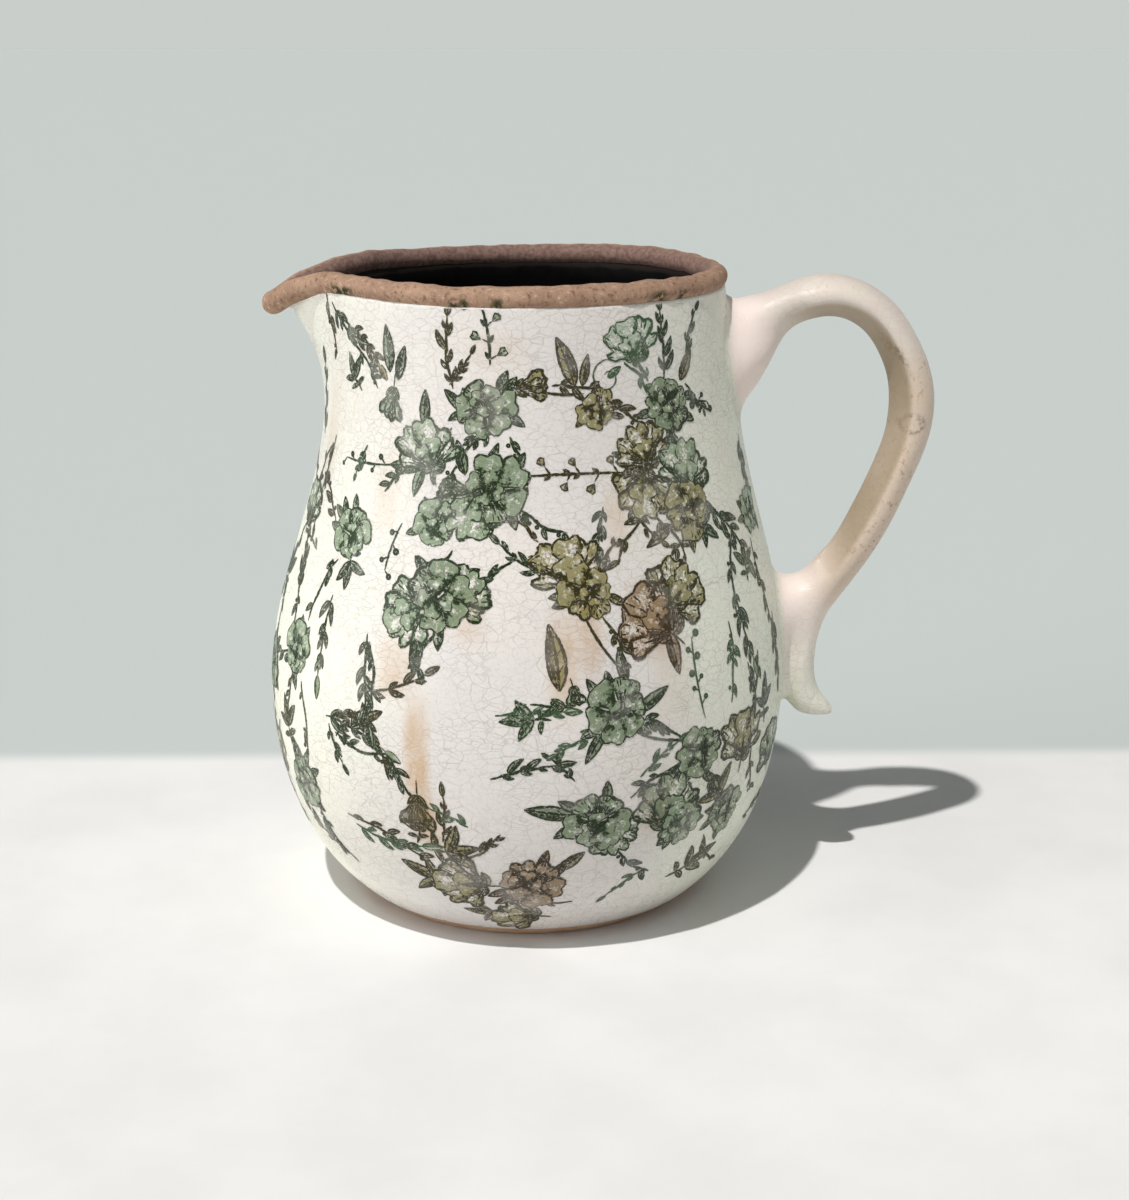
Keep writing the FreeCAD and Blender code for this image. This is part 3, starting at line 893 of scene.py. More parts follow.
def make_handle(material):
    """The softened handle, cut back into its four pieces, which share one run of normals."""
    points, edges, faces = handle_surface()
    points = soften_handle(points, edges)
    whole = bpy.data.meshes.new("handle_whole")
    whole.from_pydata([tuple(p) for p in points], [], faces)
    whole.update()
    normals = np.array([n.vector for n in whole.vertex_normals])
    gap = np.hypot(points[:, 0], points[:, 1]) - wall_radius(points)
    trees = [tree_of(name) for name in HANDLE_NODES]
    proud = gap > PROUD
    owner = np.full(len(points), -1)
    chosen = np.flatnonzero(proud)
    owner[chosen] = np.array([nearest(tree, points[chosen]) for tree in trees]).argmin(axis=0)
    kept = [f for f in faces if any(proud[i] for i in f)]
    for i in open_points(kept):
        out = points[i, :2] / np.hypot(*points[i, :2])
        points[i, :2] -= out * (gap[i] + SUNK)
    for number, name in enumerate(HANDLE_NODES):
        own = [f for f in kept if max(owner[i] for i in f) == number]
        mesh, used = handle_piece(name, own, points, normals)
        piece = linked(name + "_glazed", mesh)
        mesh.normals_split_custom_set_from_vertices([tuple(normals[i]) for i in used])
        mark_handle(piece, points[used], gap[used])
        dress(piece, material, "handle_glaze", name)


def handle_piece(name, own, points, normals):
    """One closed mesh of these faces, and the point of the whole that each of its points comes from.

    A coil gets a second face behind its own; the other pieces get turned-in edges, and caps over them.
    """
    used = sorted({i for f in own for i in f})
    place = {i: k for k, i in enumerate(used)}
    shape = bmesh.new()
    verts = [shape.verts.new(points[i]) for i in used]
    for f in own:
        shape.faces.new([verts[place[i]] for i in f])
    number_of = {v: k for k, v in enumerate(verts)}
    edges = [e for e in shape.edges if e.is_boundary]
    coil = name.endswith("coil")
    sunk = range(len(used)) if coil else sorted({number_of[v] for e in edges for v in e.verts})
    back = {k: shape.verts.new(points[used[k]] - normals[used[k]] * COIL_DEPTH) for k in sunk}
    for e in edges:
        start = e.link_loops[0].vert
        end = e.other_vert(start)
        shape.faces.new([end, start, back[number_of[start]], back[number_of[end]]])
    if coil:
        for f in own:
            shape.faces.new([back[place[i]] for i in reversed(f)])
    else:
        bmesh.ops.holes_fill(shape, edges=[e for e in shape.edges if e.is_boundary], sides=0)
        bmesh.ops.triangulate(shape, faces=[f for f in shape.faces if len(f.verts) > 4])
    mesh = bpy.data.meshes.new(name + "_glazed")
    shape.to_mesh(mesh)
    shape.free()
    mesh.shade_smooth()
    return mesh, used + [used[k] for k in sunk]


def mark_handle(piece, points, gap):
    """Where the handle turns tan, partly as painted shade, where it joins the wall, where its roots are
    painted a lighter pink, partly as a painted highlight, the painted shade on its inner face, a burnt ring
    mark and painted shade along a crease.
    """
    low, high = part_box("handle")
    across, up = points[:, 0] / MM, points[:, 2] / MM
    # Tan lower down and on the outer side: partly the glaze's colour, partly painted shade
    tan = smoothstep(0.62, 0.42, (points[:, 2] - low.z) / (high.z - low.z) - 0.25 * (across > 110))
    point_values(piece, "tan", tan * smoothstep(2 * MM, 16 * MM, gap))
    tail_low, tail_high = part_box("handle_tail")
    lower = 0.75 * smoothstep(tail_high.z, tail_low.z + 8 * MM, points[:, 2])
    point_values(piece, "root", np.maximum(1 - smoothstep(0.1 * MM, 2.0 * MM, gap), lower))
    # Lighter pink near the roots: partly glaze colour, partly a painted highlight
    point_values(piece, "pink", 1 - smoothstep(5 * MM, 22 * MM, gap))
    # The strap's inner face, which the glaze darkens as painted shade
    shaded_inner_face = smoothstep(RIDGE + 0.05, RIDGE - 0.2, strap_depth(points)[0])
    point_values(piece, "under", shaded_inner_face * smoothstep(15 * MM, 30 * MM, gap))
    front = points[:, 1] < 0
    ring = np.abs(np.hypot(across - BURNT_RING[0], (up - BURNT_RING[1]) * 1.3) - 3.4)
    # Painted shade along a crease of the strap, laid with the burnt ring
    over = up - CREASE_SHADE[1]
    crease = np.abs((across - CREASE_SHADE[0]) + 0.8 * over) + 0.35 * np.abs(over)
    marks = np.maximum(0.6 * smoothstep(1.6, 0.2, ring), smoothstep(3.2, 0.4, crease)) * front
    point_values(piece, "burn_and_crease_shade", marks)


# ---------------------------------------------------------------- printed pattern

# Each ink: colour of its flat tint, colour of its line work, how solid the tint is
INKS = {
    "green": (tone(96, 118, 80), tone(20, 38, 4), 1.0),
    "sage": (tone(114, 136, 102), tone(26, 48, 14), 1.0),
    "olive": (tone(120, 112, 46), tone(42, 38, 0), 1.0),
    "brown": (tone(124, 98, 56), tone(48, 32, 2), 1.0),
    "teal": (tone(134, 156, 128), tone(48, 74, 44), 0.85),
}

# Order of the print: shape, angle, height, size, turn (degrees), ink, bend (degrees)
PRINT = (
    ("sprig", 201, 191, 20, -128, "green", 40), ("sprig", 209, 186, 22, -110, "olive", -40),
    ("leaves", 214, 172, 10, 30, "green", 0), ("bud", 231, 166, 10, 170, "sage", 0),
    ("leaf", 230, 174, 12, 4, "green", 10), ("leaf", 233, 172, 9, -8, "green", -10),
    ("sprig", 250, 171, 21, 12, "olive", -25), ("sprig", 249, 172, 11, -40, "olive", 20),
    ("rose", 259, 166, 15, 0, "green", 0), ("leaves", 252, 166, 11, 60, "green", 0),
    ("chain", 260, 178, 15, 4, "green", 20), ("bud", 270, 172, 10, -80, "olive", 0),
    ("stem", 272, 171, 12, -100, "olive", 20), ("leaf", 282, 172, 13, 14, "olive", 12),
    ("leaf", 284, 172, 8, -12, "olive", 0), ("rose", 288, 165, 10, 0, "olive", 0),
    ("bloom", 298, 184, 12, 20, "teal", 0), ("curl", 291, 174, 9, 0, "teal", 0),
    ("sprig", 303, 172, 15, 30, "teal", 30), ("sprig", 308, 171, 21, -4, "green", 14),
    ("sprig", 317, 178, 14, -20, "green", -30), ("rose", 309, 165, 15, 20, "green", 0),
    ("berries", 316, 166, 9, -110, "green", 20), ("leaf", 314, 171, 9, -35, "olive", 0),
    ("bud", 309, 156, 6, 180, "green", 0), ("bloom", 300, 154, 12, 10, "olive", 0),
    ("leaves", 297, 150, 12, 60, "olive", 0), ("bloom", 299, 141, 13, 175, "olive", 0),
    ("chain", 295, 147, 27, 88, "olive", 8), ("stem", 302, 145, 13, -96, "olive", -30),
    ("bloom", 313, 146, 14, -10, "sage", 0), ("rose", 312, 135, 16, 0, "olive", 0),
    ("leaf", 306, 131, 10, 120, "olive", 0), ("leaves", 317, 128, 10, -120, "green", 0),
    ("leaf", 242, 160, 9, 0, "green", 0), ("bloom", 243, 154, 14, 20, "sage", 0),
    ("leaves", 240, 148, 14, 100, "sage", 0), ("stem", 250, 160, 12, 140, "green", -20),
    ("leaf", 254, 147, 9, 16, "green", 0), ("leaf", 259, 147, 9, -22, "green", 0),
    ("rose", 261, 143, 17, 0, "green", 0), ("bloom", 255, 137, 14, 150, "sage", 0),
    ("rose", 247, 132, 12, 40, "sage", 0), ("bud", 251, 142, 9, 60, "sage", 0),
    ("berries", 234, 148, 20, 96, "green", -14), ("sprig", 223, 152, 10, 150, "teal", 20),
    ("rose", 222, 126, 15, 0, "sage", 0), ("leaves", 224, 116, 12, 190, "green", 0),
    ("sprig", 208, 118, 12, 70, "olive", 20), ("berries", 238, 132, 13, 160, "green", 20),
    ("rose", 250, 113, 18, 30, "green", 0), ("bloom", 242, 107, 14, 120, "sage", 0),
    ("bloom", 256, 115, 12, -50, "green", 0), ("leaf", 246, 103, 11, 175, "green", 0),
    ("sprig", 275, 119, 18, 62, "green", -24), ("bloom", 279, 123, 15, 18, "olive", 0),
    ("rose", 283, 115, 14, 0, "olive", 0), ("sprig", 288, 138, 14, 165, "green", 18),
    ("sprig", 295, 138, 15, -150, "olive", 30), ("bloom", 298, 107, 17, 40, "brown", 0),
    ("bloom", 305, 113, 15, -45, "olive", 0), ("leaf", 301, 102, 12, -170, "brown", 0),
    ("sprig", 319, 133, 26, -130, "green", -34), ("leaves", 330, 116, 11, 0, "green", 0),
    ("sprig", 323, 109, 25, -172, "green", 20), ("sprig", 329, 88, 17, 168, "green", -20),
    ("leaf", 276, 88, 17, 2, "olive", 12), ("stem", 282, 108, 18, -152, "olive", 22),
    ("leaf", 290, 89, 9, 10, "green", 0), ("bud", 279, 87, 6, 190, "green", 0),
    ("rose", 288, 81, 16, 0, "green", 0), ("leaf", 292, 80, 11, -60, "green", 0),
    ("leaf", 285, 76, 10, 150, "green", 0), ("berries", 309, 74, 22, 12, "teal", -20),
    ("sprig", 263, 81, 20, -84, "teal", -12), ("leaves", 269, 80, 11, 90, "sage", 0),
    ("sprig", 284, 75, 14, 108, "teal", 20), ("sprig", 262, 62, 20, -74, "green", -14),
    ("sprig", 220, 108, 25, 176, "green", 8), ("sprig", 233, 100, 27, -176, "green", 12),
    ("sprig", 235, 84, 20, -74, "olive", 24), ("leaves", 235, 76, 9, -60, "olive", 0),
    ("sprig", 223, 73, 25, -96, "green", -34), ("sprig", 224, 71, 13, -160, "green", 20),
    ("bud", 246, 50, 12, 176, "olive", 0), ("leaves", 246, 45, 10, 0, "olive", 0),
    ("sprig", 251, 40, 16, -10, "olive", 20), ("sprig", 257, 46, 13, 62, "teal", 20),
    ("sprig", 229, 40, 24, -104, "teal", 30), ("leaves", 254, 37, 15, -80, "olive", 0),
    ("bloom", 254, 25, 15, 90, "olive", 0), ("leaves", 246, 27, 15, 70, "olive", 0),
    ("rose", 270, 26, 17, 0, "brown", 0), ("leaf", 276, 31, 9, -50, "olive", 0),
    ("sprig", 279, 61, 11, 40, "green", 20), ("rose", 284, 47, 17, 0, "green", 0),
    ("leaf", 279, 50, 13, 80, "green", 0), ("bloom", 288, 41, 12, -160, "green", 0),
    ("bloom", 301, 49, 17, -10, "green", 0), ("rose", 304, 42, 13, 0, "sage", 0),
    ("stem", 292, 74, 17, -112, "green", 30), ("sprig", 293, 60, 16, -50, "teal", -20),
    ("rose", 308, 64, 15, 0, "green", 0), ("bloom", 322, 64, 15, 0, "olive", 0),
    ("leaves", 314, 50, 15, 20, "olive", 0), ("rose", 319, 40, 14, 0, "green", 0),
    ("leaves", 331, 72, 12, 0, "green", 0), ("leaves", 313, 25, 16, -60, "olive", 0),
    ("sprig", 296, 27, 13, 130, "teal", 20), ("bloom", 266, 12, 13, 90, "olive", 0),
    ("leaves", 258, 13, 12, 80, "olive", 0), ("rose", 209, 88, 14, 0, "sage", 0),
    ("leaves", 206, 66, 13, 20, "olive", 0), ("rose", 212, 47, 15, 0, "green", 0),
    ("sprig", 203, 104, 20, 10, "olive", 20), ("bloom", 196, 130, 13, 0, "green", 0),
    ("sprig", 194, 150, 22, 10, "green", -20), ("leaves", 190, 108, 12, 0, "sage", 0),
    ("rose", 192, 78, 15, 0, "green", 0), ("bloom", 195, 50, 14, 40, "olive", 0),
    ("sprig", 222, 26, 20, 60, "olive", -20), ("bloom", 338, 54, 14, 20, "green", 0),
    ("sprig", 341, 96, 22, 176, "olive", 20), ("sprig", 344, 150, 24, 175, "green", 18),
    ("rose", 340, 128, 13, 0, "sage", 0), ("sprig", 331, 32, 18, -80, "olive", 20),
)

# Branches that tie the flowers together: angle and height of each end, bend (degrees), ink
VINES = (
    (262, 160, 250, 146, 40, "green"), (265, 158, 268, 150, -20, "green"), (240, 148, 231, 140, 30, "sage"),
    (252, 126, 246, 120, -30, "green"), (268, 138, 279, 131, 25, "green"), (272, 129, 266, 136, 20, "olive"),
    (298, 134, 290, 122, 25, "olive"), (301, 134, 309, 121, -30, "olive"), (318, 136, 330, 127, 30, "green"),
    (286, 108, 290, 90, -30, "olive"), (282, 118, 290, 128, 20, "olive"), (293, 78, 303, 69, -25, "green"),
    (303, 62, 291, 54, 20, "green"), (280, 82, 270, 84, 20, "sage"), (250, 104, 246, 92, 25, "green"),
    (234, 98, 236, 80, -20, "green"), (236, 80, 226, 68, 25, "olive"), (226, 69, 240, 66, 35, "green"),
    (240, 66, 248, 50, 20, "green"), (234, 74, 240, 58, -35, "olive"), (227, 43, 246, 33, -25, "olive"),
    (254, 33, 264, 44, 20, "olive"), (264, 22, 280, 18, 30, "brown"), (206, 152, 202, 122, 20, "olive"),
    (200, 116, 205, 86, -25, "green"), (214, 128, 205, 138, 20, "olive"), (219, 118, 212, 98, 25, "green"),
    (213, 80, 216, 58, -20, "olive"), (216, 40, 224, 24, 25, "green"), (313, 34, 322, 20, 20, "olive"),
    (324, 86, 327, 66, -20, "green"), (327, 126, 322, 100, 20, "green"), (319, 100, 317, 76, -15, "teal"),
    (336, 120, 340, 92, 20, "green"), (209, 184, 226, 169, -25, "green"), (198, 196, 204, 176, 20, "olive"),
    (316, 170, 326, 160, 25, "green"), (296, 178, 303, 168, -30, "teal"), (291, 168, 302, 160, 25, "olive"),
    (276, 172, 290, 169, -30, "olive"), (311, 128, 303, 120, 20, "olive"), (288, 38, 298, 26, 20, "green"),
    (310, 58, 317, 46, 30, "green"), (326, 58, 330, 42, 20, "olive"), (258, 118, 266, 124, 20, "green"),
    (196, 124, 191, 110, 20, "green"), (190, 104, 192, 84, -20, "sage"), (193, 72, 195, 56, 20, "olive"),
    (205, 86, 194, 80, 25, "green"), (209, 82, 207, 68, 20, "olive"), (207, 62, 211, 52, -20, "green"),
    (196, 44, 204, 28, 20, "olive"), (185, 146, 195, 134, 20, "sage"), (197, 136, 203, 148, -20, "olive"),
    (186, 66, 190, 42, 25, "green"), (184, 120, 187, 96, -20, "olive"), (200, 62, 197, 54, 20, "olive"),
)

# All the shapes of the print, other than the branches, are enlarged by this
PRINT_SCALE = 1.14
# The back's copies stand up to this much higher or lower, in millimetres
BACK_SHIFT = 7


class Motif:
    """One printed shape, drawn flat in millimetres round (0, 0) and pointing up, never twice the same."""

    STEM_POINTS = 12

    def __init__(self, seed):
        self.draw = random.Random(seed)
        self.patches = []

    def about(self, value, share=0.12):
        """The value, made larger or smaller by up to this share."""
        return value * self.draw.uniform(1 - share, 1 + share)

    def patch(self, grid, solid, dark=0.0, line=False):
        """A sheet of points with how solid its ink is and how dark, from the flat tint to the pen's ink."""
        grid = np.asarray(grid, float)
        size = grid.shape[:2]
        self.patches.append((grid, np.broadcast_to(solid, size), np.broadcast_to(dark, size), line))

    def stroke(self, points, width, solid=1.0):
        """A pen line through points, thin at both ends."""
        points = np.asarray(points, float)
        steps = np.hypot(*np.diff(points, axis=0).T)
        travel = np.append(0, np.cumsum(steps))
        if travel[-1] < 0.05:
            return
        count = max(3, int(travel[-1] / 1.1) + 2)
        at = np.linspace(0, travel[-1], count)
        path = np.stack([np.interp(at, travel, points[:, k]) for k in (0, 1)], axis=1)
        along = np.gradient(path, axis=0)
        along /= np.maximum(np.hypot(*along.T), 1e-9)[:, None]
        side = left_of(along)
        share = np.linspace(0, 1, count)
        wide = width * (0.35 + 0.65 * np.sin(math.pi * share) ** 0.5)
        wide *= [self.about(1, 0.2) for _ in share]
        half = side * wide[:, None] / 2
        grid = np.stack([path + half, path, path - half], axis=1)
        self.patch(grid, solid * np.array([[0.5, 1.0, 0.5]]), 0.85, line=True)

    def disc(self, centre, radius):
        """A dark dot."""
        ring = step(np.linspace(0, 2 * math.pi, 9), radius)
        self.patch(np.stack([centre + 0.2 * ring, centre + ring], axis=1), 0.95, 1.0, line=True)

    def petal(self, base, heading, length, spread, solid=0.95, hatch=3):
        """A rounded petal with a wavy edge, a pen outline, strokes from its base and a few from its edge."""
        notch, wave = self.draw.uniform(0.04, 0.16), self.draw.uniform(0.02, 0.05)
        phase = self.draw.uniform(0, 6)

        def at(s, t):
            s, t = np.broadcast_arrays(np.asarray(s, float), np.asarray(t, float))
            edge = -0.24 * t ** 4 - notch * np.exp(-(t / 0.3) ** 2) + wave * np.sin(7 * t + phase)
            reach = length * s * (1 + edge * s ** 2)
            turn = heading + spread * t * (0.5 + 0.5 * s)
            return np.asarray(base) + step(turn, reach)

        s, t = np.linspace(0.08, 1, 5)[:, None], np.linspace(-1, 1, 7)[None, :]
        light = np.exp(-((t - self.draw.uniform(-0.4, 0.4)) / 0.5) ** 2 - ((s - 0.68) / 0.25) ** 2)
        shade = 1.0 * (1 - s) ** 0.9 + 0.5 * np.abs(t) ** 3 * s + 0.16 * t * self.draw.choice((-1, 1))
        self.patch(at(s, t), solid * (1.05 - 0.65 * light), shade)
        rise = np.linspace(0.2, 1, 5)
        outline = np.concatenate([at(rise, -1), at(1, np.linspace(-1, 1, 11))[1:-1], at(rise[::-1], 1)])
        self.stroke(outline, self.about(0.06 * length + 0.42, 0.25))
        for k in range(hatch):
            t = -0.7 + 1.4 * (k + 0.5) / hatch + self.draw.uniform(-0.08, 0.08)
            self.stroke(at(np.linspace(0.1, self.draw.uniform(0.45, 0.74), 3), t), 0.8, 0.95)
            if self.draw.random() < 0.7:
                self.stroke(at(np.linspace(self.draw.uniform(0.70, 0.84), 0.97, 3), t + 0.12), 0.65, 0.95)

    def one_leaf(self, base, heading, length, width, bend=0.0, solid=0.95, veins=3):
        """A pointed leaf, darker on one side of its rib."""
        joints = 9
        share = np.linspace(0, 1, joints)
        turn = heading + bend * share
        along = step(turn, length / (joints - 1))
        rib = np.array(base) + np.append([[0, 0]], np.cumsum((along[1:] + along[:-1]) / 2, axis=0), axis=0)
        side = left_of(step(turn))
        half = width / 2 * np.maximum(np.sin(math.pi * share ** 0.8), 0.03) ** 0.85
        across = np.linspace(-1, 1, 5)
        grid = rib[:, None] + side[:, None] * (half[:, None] * across)[..., None]
        dark = self.draw.choice((-1, 1))
        self.patch(grid, solid, 0.38 + 0.36 * dark * np.sign(across))
        edge = self.about(0.02 * length + 0.5, 0.2)
        self.stroke(grid[:, 0], edge)
        self.stroke(grid[:, -1], edge)
        self.stroke(rib, edge)
        for k in range(veins):
            j = 1 + int((k + 0.6) * 6 / max(veins, 1))
            for t in (-0.8, 0.8):
                tip = rib[min(j + 1, joints - 1)] + side[j] * half[j] * t
                self.stroke([rib[j], tip], 0.4, 0.9)

    def path(self, length, bend):
        """A bent stem: its points and which way it heads at each of them."""
        turn = math.pi / 2 + math.radians(bend) * (np.linspace(0, 1, self.STEM_POINTS) - 0.3)
        steps = step(turn[1:], length / (self.STEM_POINTS - 1))
        return np.append([[0, 0]], np.cumsum(steps, axis=0), axis=0), turn

    def place(self, share):
        """Number of the stem's point at this share of its length."""
        return min(int(share * (self.STEM_POINTS - 1)), self.STEM_POINTS - 1)

    def rose(self, size, bend):
        """An open flower tipped a little to one side, in two rings of petals, with leaves behind it."""
        reach = size / 2
        tip = self.draw.uniform(0, 2 * math.pi)
        heart = step(tip, 0.18 * reach)
        for _ in range(4):
            heading = self.draw.uniform(0, 2 * math.pi)
            lean = self.draw.uniform(-0.5, 0.5)
            self.one_leaf(step(heading, 0.72 * reach), heading + lean, reach * self.about(0.72), reach * 0.3)
        first = self.draw.uniform(0, 2 * math.pi)
        for k in range(6):
            heading = first + k * math.pi / 3
            length = self.about(reach, 0.16) * (1 - 0.14 * math.cos(heading - tip))
            self.petal(0.3 * heart, heading, length, 0.56, hatch=5)
        for k in range(4):
            self.petal(heart, first + 0.6 + k * math.pi / 2, self.about(0.54 * reach), 0.66, 0.9, 3)
        for k in range(5):
            start = self.draw.uniform(0, 2 * math.pi)
            swing = start + np.linspace(0, self.draw.uniform(0.9, 2.0), 6)
            self.stroke(heart + step(swing, reach * self.draw.uniform(0.16, 0.42)), 0.75)
        self.disc(heart, 0.13 * reach)

    def bloom(self, size, bend):
        """A flower seen from the side, with its cup of sepals and a short stalk."""
        base = np.array([0, -0.42 * size])
        for lean in (-75, 80, -115):
            self.one_leaf(base, math.radians(90 + lean), self.about(0.34 * size), 0.15 * size, -0.01 * lean)
        petals = ((-58, 0.72), (56, 0.74), (-30, 0.86), (28, 0.9), (0, 0.92), (-16, 0.58), (18, 0.54))
        for lean, reach in petals:
            heading = math.radians(90 + lean + self.draw.uniform(-5, 5))
            self.petal(base, heading, self.about(reach * size, 0.07), 0.36, 0.68 if reach > 0.6 else 0.9, 3)
        self.stroke([base, base + (self.draw.uniform(-1, 1), -0.3 * size)], 0.6)

    def bud(self, size, bend):
        """A closed flower of three petals between two sepals, on a stalk."""
        base = np.array([0, -0.35 * size])
        for lean, reach in ((-16, 0.84), (16, 0.86), (0, 0.72)):
            self.petal(base, math.radians(90 + lean), self.about(reach * size, 0.06), 0.34, 0.85, 3)
        for lean in (-40, 42):
            self.one_leaf(base, math.radians(90 + lean), 0.36 * size, 0.13 * size, veins=0)
        self.stroke([base, base + (0.3, -0.35 * size)], 0.5)

    def leaf(self, size, bend):
        """A single leaf."""
        self.one_leaf((0, 0), math.pi / 2, size, self.about(0.3 * size), math.radians(bend))

    def leaves(self, size, bend):
        """Three leaves and two small ones on a bent stalk."""
        foot = np.array([self.draw.uniform(-0.2, 0.2) * size, -0.6 * size])
        fork = np.array([0, -0.2 * size])
        self.stroke([foot, 0.5 * (foot + fork) + 0.4, fork], 1.0)
        for lean, reach in ((0, 0.72), (-44, 0.62), (48, 0.56)):
            lean += self.draw.uniform(-10, 10)
            length = self.about(reach * size, 0.15)
            self.one_leaf(fork, math.radians(90 + lean), length, 0.32 * length, 0.008 * lean)
        for lean in (-60, 65):
            length = self.about(0.34 * size)
            heading = math.radians(90 + lean)
            self.one_leaf(0.5 * (foot + fork), heading, length, 0.3 * length, 0.01 * lean, veins=1)

    def stem(self, size, bend):
        """A bare bent stem."""
        points, _ = self.path(size, bend)
        self.stroke(points, 1.0)

    def curl(self, size, bend):
        """A spiral tendril with one leaf at its heart."""
        share = np.linspace(0, 1, 22)
        self.stroke(step(1.2 + 7.5 * (1 - share), size * (0.12 + 0.4 * share)), 0.55)
        self.one_leaf((0, 0), 0.6, 0.5 * size, 0.2 * size)

    def sprig(self, size, bend):
        """A stem with leaves left and right, unevenly spaced, and one at its tip."""
        points, turn = self.path(size * 0.86, bend)
        points[1:-1, 0] += [self.draw.uniform(-0.3, 0.3) for _ in points[1:-1]]
        self.stroke(points, 1.0)
        count = max(3, int(size / 3.9))
        for k in range(count):
            share = 0.10 + 0.84 * (k + self.draw.uniform(0, 0.7)) / count
            j = self.place(share)
            lean = (0.95 - 0.35 * share) * (1 if k % 2 else -1)
            length = self.about((0.36 - 0.12 * share) * size ** 0.62 * 2.3, 0.35)
            self.one_leaf(points[j], turn[j] + lean, length, 0.28 * length, -0.8 * lean, veins=1)
            if self.draw.random() < 0.35:
                heading = turn[j] - 0.8 * lean
                self.one_leaf(points[j], heading, 0.7 * length, 0.2 * length, 0.5 * lean, veins=0)
        self.one_leaf(points[-1], turn[-1], self.about(0.24 * size), 0.08 * size, veins=0)

    def twig(self, size, bend):
        """A wandering branch that ends straight above its start, with a few narrow leaves and buds."""
        share = np.linspace(0, 1, 14)
        phase = self.draw.uniform(0, 6)
        sway = size * math.radians(bend) / 6 * np.sin(math.pi * share) + 0.35 * np.sin(9 * share + phase)
        points = np.stack([sway, size * share], axis=1)
        self.stroke(points, 1.05)
        for _ in range(max(2, int(size / 3.2))):
            j = self.draw.randrange(1, 13)
            lean = self.draw.choice((-1, 1)) * self.draw.uniform(0.5, 1.1)
            length = self.about(4.0, 0.35)
            self.one_leaf(points[j], math.pi / 2 + lean, length, 0.32 * length, -0.6 * lean, veins=0)
            if self.draw.random() < 0.3:
                self.disc(points[j] + step(lean, self.about(1.6)), 0.7)

    def stalks(self, size, bend, width, count, first, last):
        """A bent stem, then for each of its stalks: the place, the stem's heading there and the side."""
        points, turn = self.path(size, bend)
        self.stroke(points, width)
        for k in range(count):
            j = self.place(first + (last - first) * k / (count - 1))
            yield points[j], turn[j], 1 if k % 2 else -1

    def berries(self, size, bend):
        """A bent stem with round berries left and right on short stalks."""
        for start, turn, side in self.stalks(size, bend, 0.8, max(3, int(size / 3.4)), 0.25, 1.0):
            tip = start + step(turn + 0.9 * side, self.about(2.3, 0.3))
            self.stroke([start, tip], 0.55)
            self.disc(tip, self.about(1.05, 0.3))

    def chain(self, size, bend):
        """A thin stem with small closed buds on stalks."""
        for start, turn, side in self.stalks(size, bend, 0.95, max(4, int(size / 4.5)), 0.15, 0.95):
            tip = start + step(turn + side, self.about(2.4, 0.2))
            self.stroke([start, tip], 0.65)
            self.petal(tip - 0.2, turn + side, self.about(3.4), 0.5, 1.0, 1)
            self.one_leaf(start, turn - 0.6 * side, 2.6, 0.9, veins=0)


class Wrap:
    """Lays flat drawings on the wall, keeping their size, and gathers them by ink."""

    # How far tints and lines lie over the wall, and how much further each next layer does
    TINT_LIFT = 0.040 * MM
    LINE_LIFT = 0.110 * MM
    LAYER = 0.0025 * MM
    # How near the print comes to the wall's top and bottom, in millimetres
    EDGE = 0.4

    def __init__(self):
        """The wall's height and radius up its front, and the way up along it, in millimetres."""
        front = int(np.argmin(np.abs(angles - 1.5 * math.pi)))
        self.rise = outer_heights[front] / MM
        self.radius = wall_outer[front] / MM
        self.travel = np.append(0, np.cumsum(np.hypot(np.diff(self.rise), np.diff(self.radius))))
        self.inks = {ink: ([], [], [], [], [], []) for ink in INKS}

    def span(self, angle, height, end_angle, end_height):
        """How far two places on the wall are apart, round it and up it, in millimetres."""
        radius = np.interp((height + end_height) / 2, self.rise, self.radius)
        start, end = np.interp((height, end_height), self.rise, self.travel)
        return math.radians(end_angle - angle) * radius, end - start

    def lay(self, motif, angle, height, turn, ink):
        """Put a drawing on the wall with its (0, 0) at an angle and height."""
        c, s = math.cos(math.radians(turn)), math.sin(math.radians(turn))
        start = np.interp(height, self.rise, self.travel)
        points, faces, solids, darks, degrees, heights = self.inks[ink]
        for layer, (grid, solid, dark, line) in enumerate(motif.patches):
            x = grid[..., 0] * c - grid[..., 1] * s
            y = grid[..., 0] * s + grid[..., 1] * c
            z = np.interp(start + y, self.travel, self.rise)
            phi = (math.radians(angle) + x / np.interp(z, self.rise, self.radius)) % (2 * math.pi)
            column = np.interp(phi, full_turn, np.arange(COLUMNS + 1))
            top = np.interp(phi, full_turn, around(seat)) / MM
            inside = (z < top - self.EDGE) & (z > self.rise[0] + self.EDGE)
            z = np.minimum(z, top - self.EDGE)
            share = (z - self.rise[0]) / (top - self.rise[0])
            row = np.interp(share, row_share, np.arange(OUTER_ROWS))
            lift = (self.LINE_LIFT if line else self.TINT_LIFT) + layer * self.LAYER * (0.4 if line else 1)
            place = between(wall_points, column, row) + between(wall_normals, column, row) * lift
            rows, wide = grid.shape[:2]
            first = len(points)
            points.extend(place.reshape(-1, 3))
            solids.extend(solid.reshape(-1))
            darks.extend(dark.reshape(-1))
            degrees.extend(np.degrees(phi).reshape(-1))
            heights.extend(z.reshape(-1))
            for a in range(rows - 1):
                for b in range(wide - 1):
                    if inside[a, b] or inside[a + 1, b] or inside[a, b + 1] or inside[a + 1, b + 1]:
                        p = first + a * wide + b
                        faces.append((p, p + 1, p + wide + 1, p + wide))

    def make(self):
        """One piece for each ink."""
        for ink, (points, faces, solids, darks, degrees, heights) in self.inks.items():
            piece = mesh_piece("print_" + ink, points, faces)
            point_values(piece, "solid", solids)
            point_values(piece, "dark", darks)
            mark_stains(piece, np.array(degrees), np.array(heights))
            dress(piece, print_glaze(ink), "crackle_glaze")


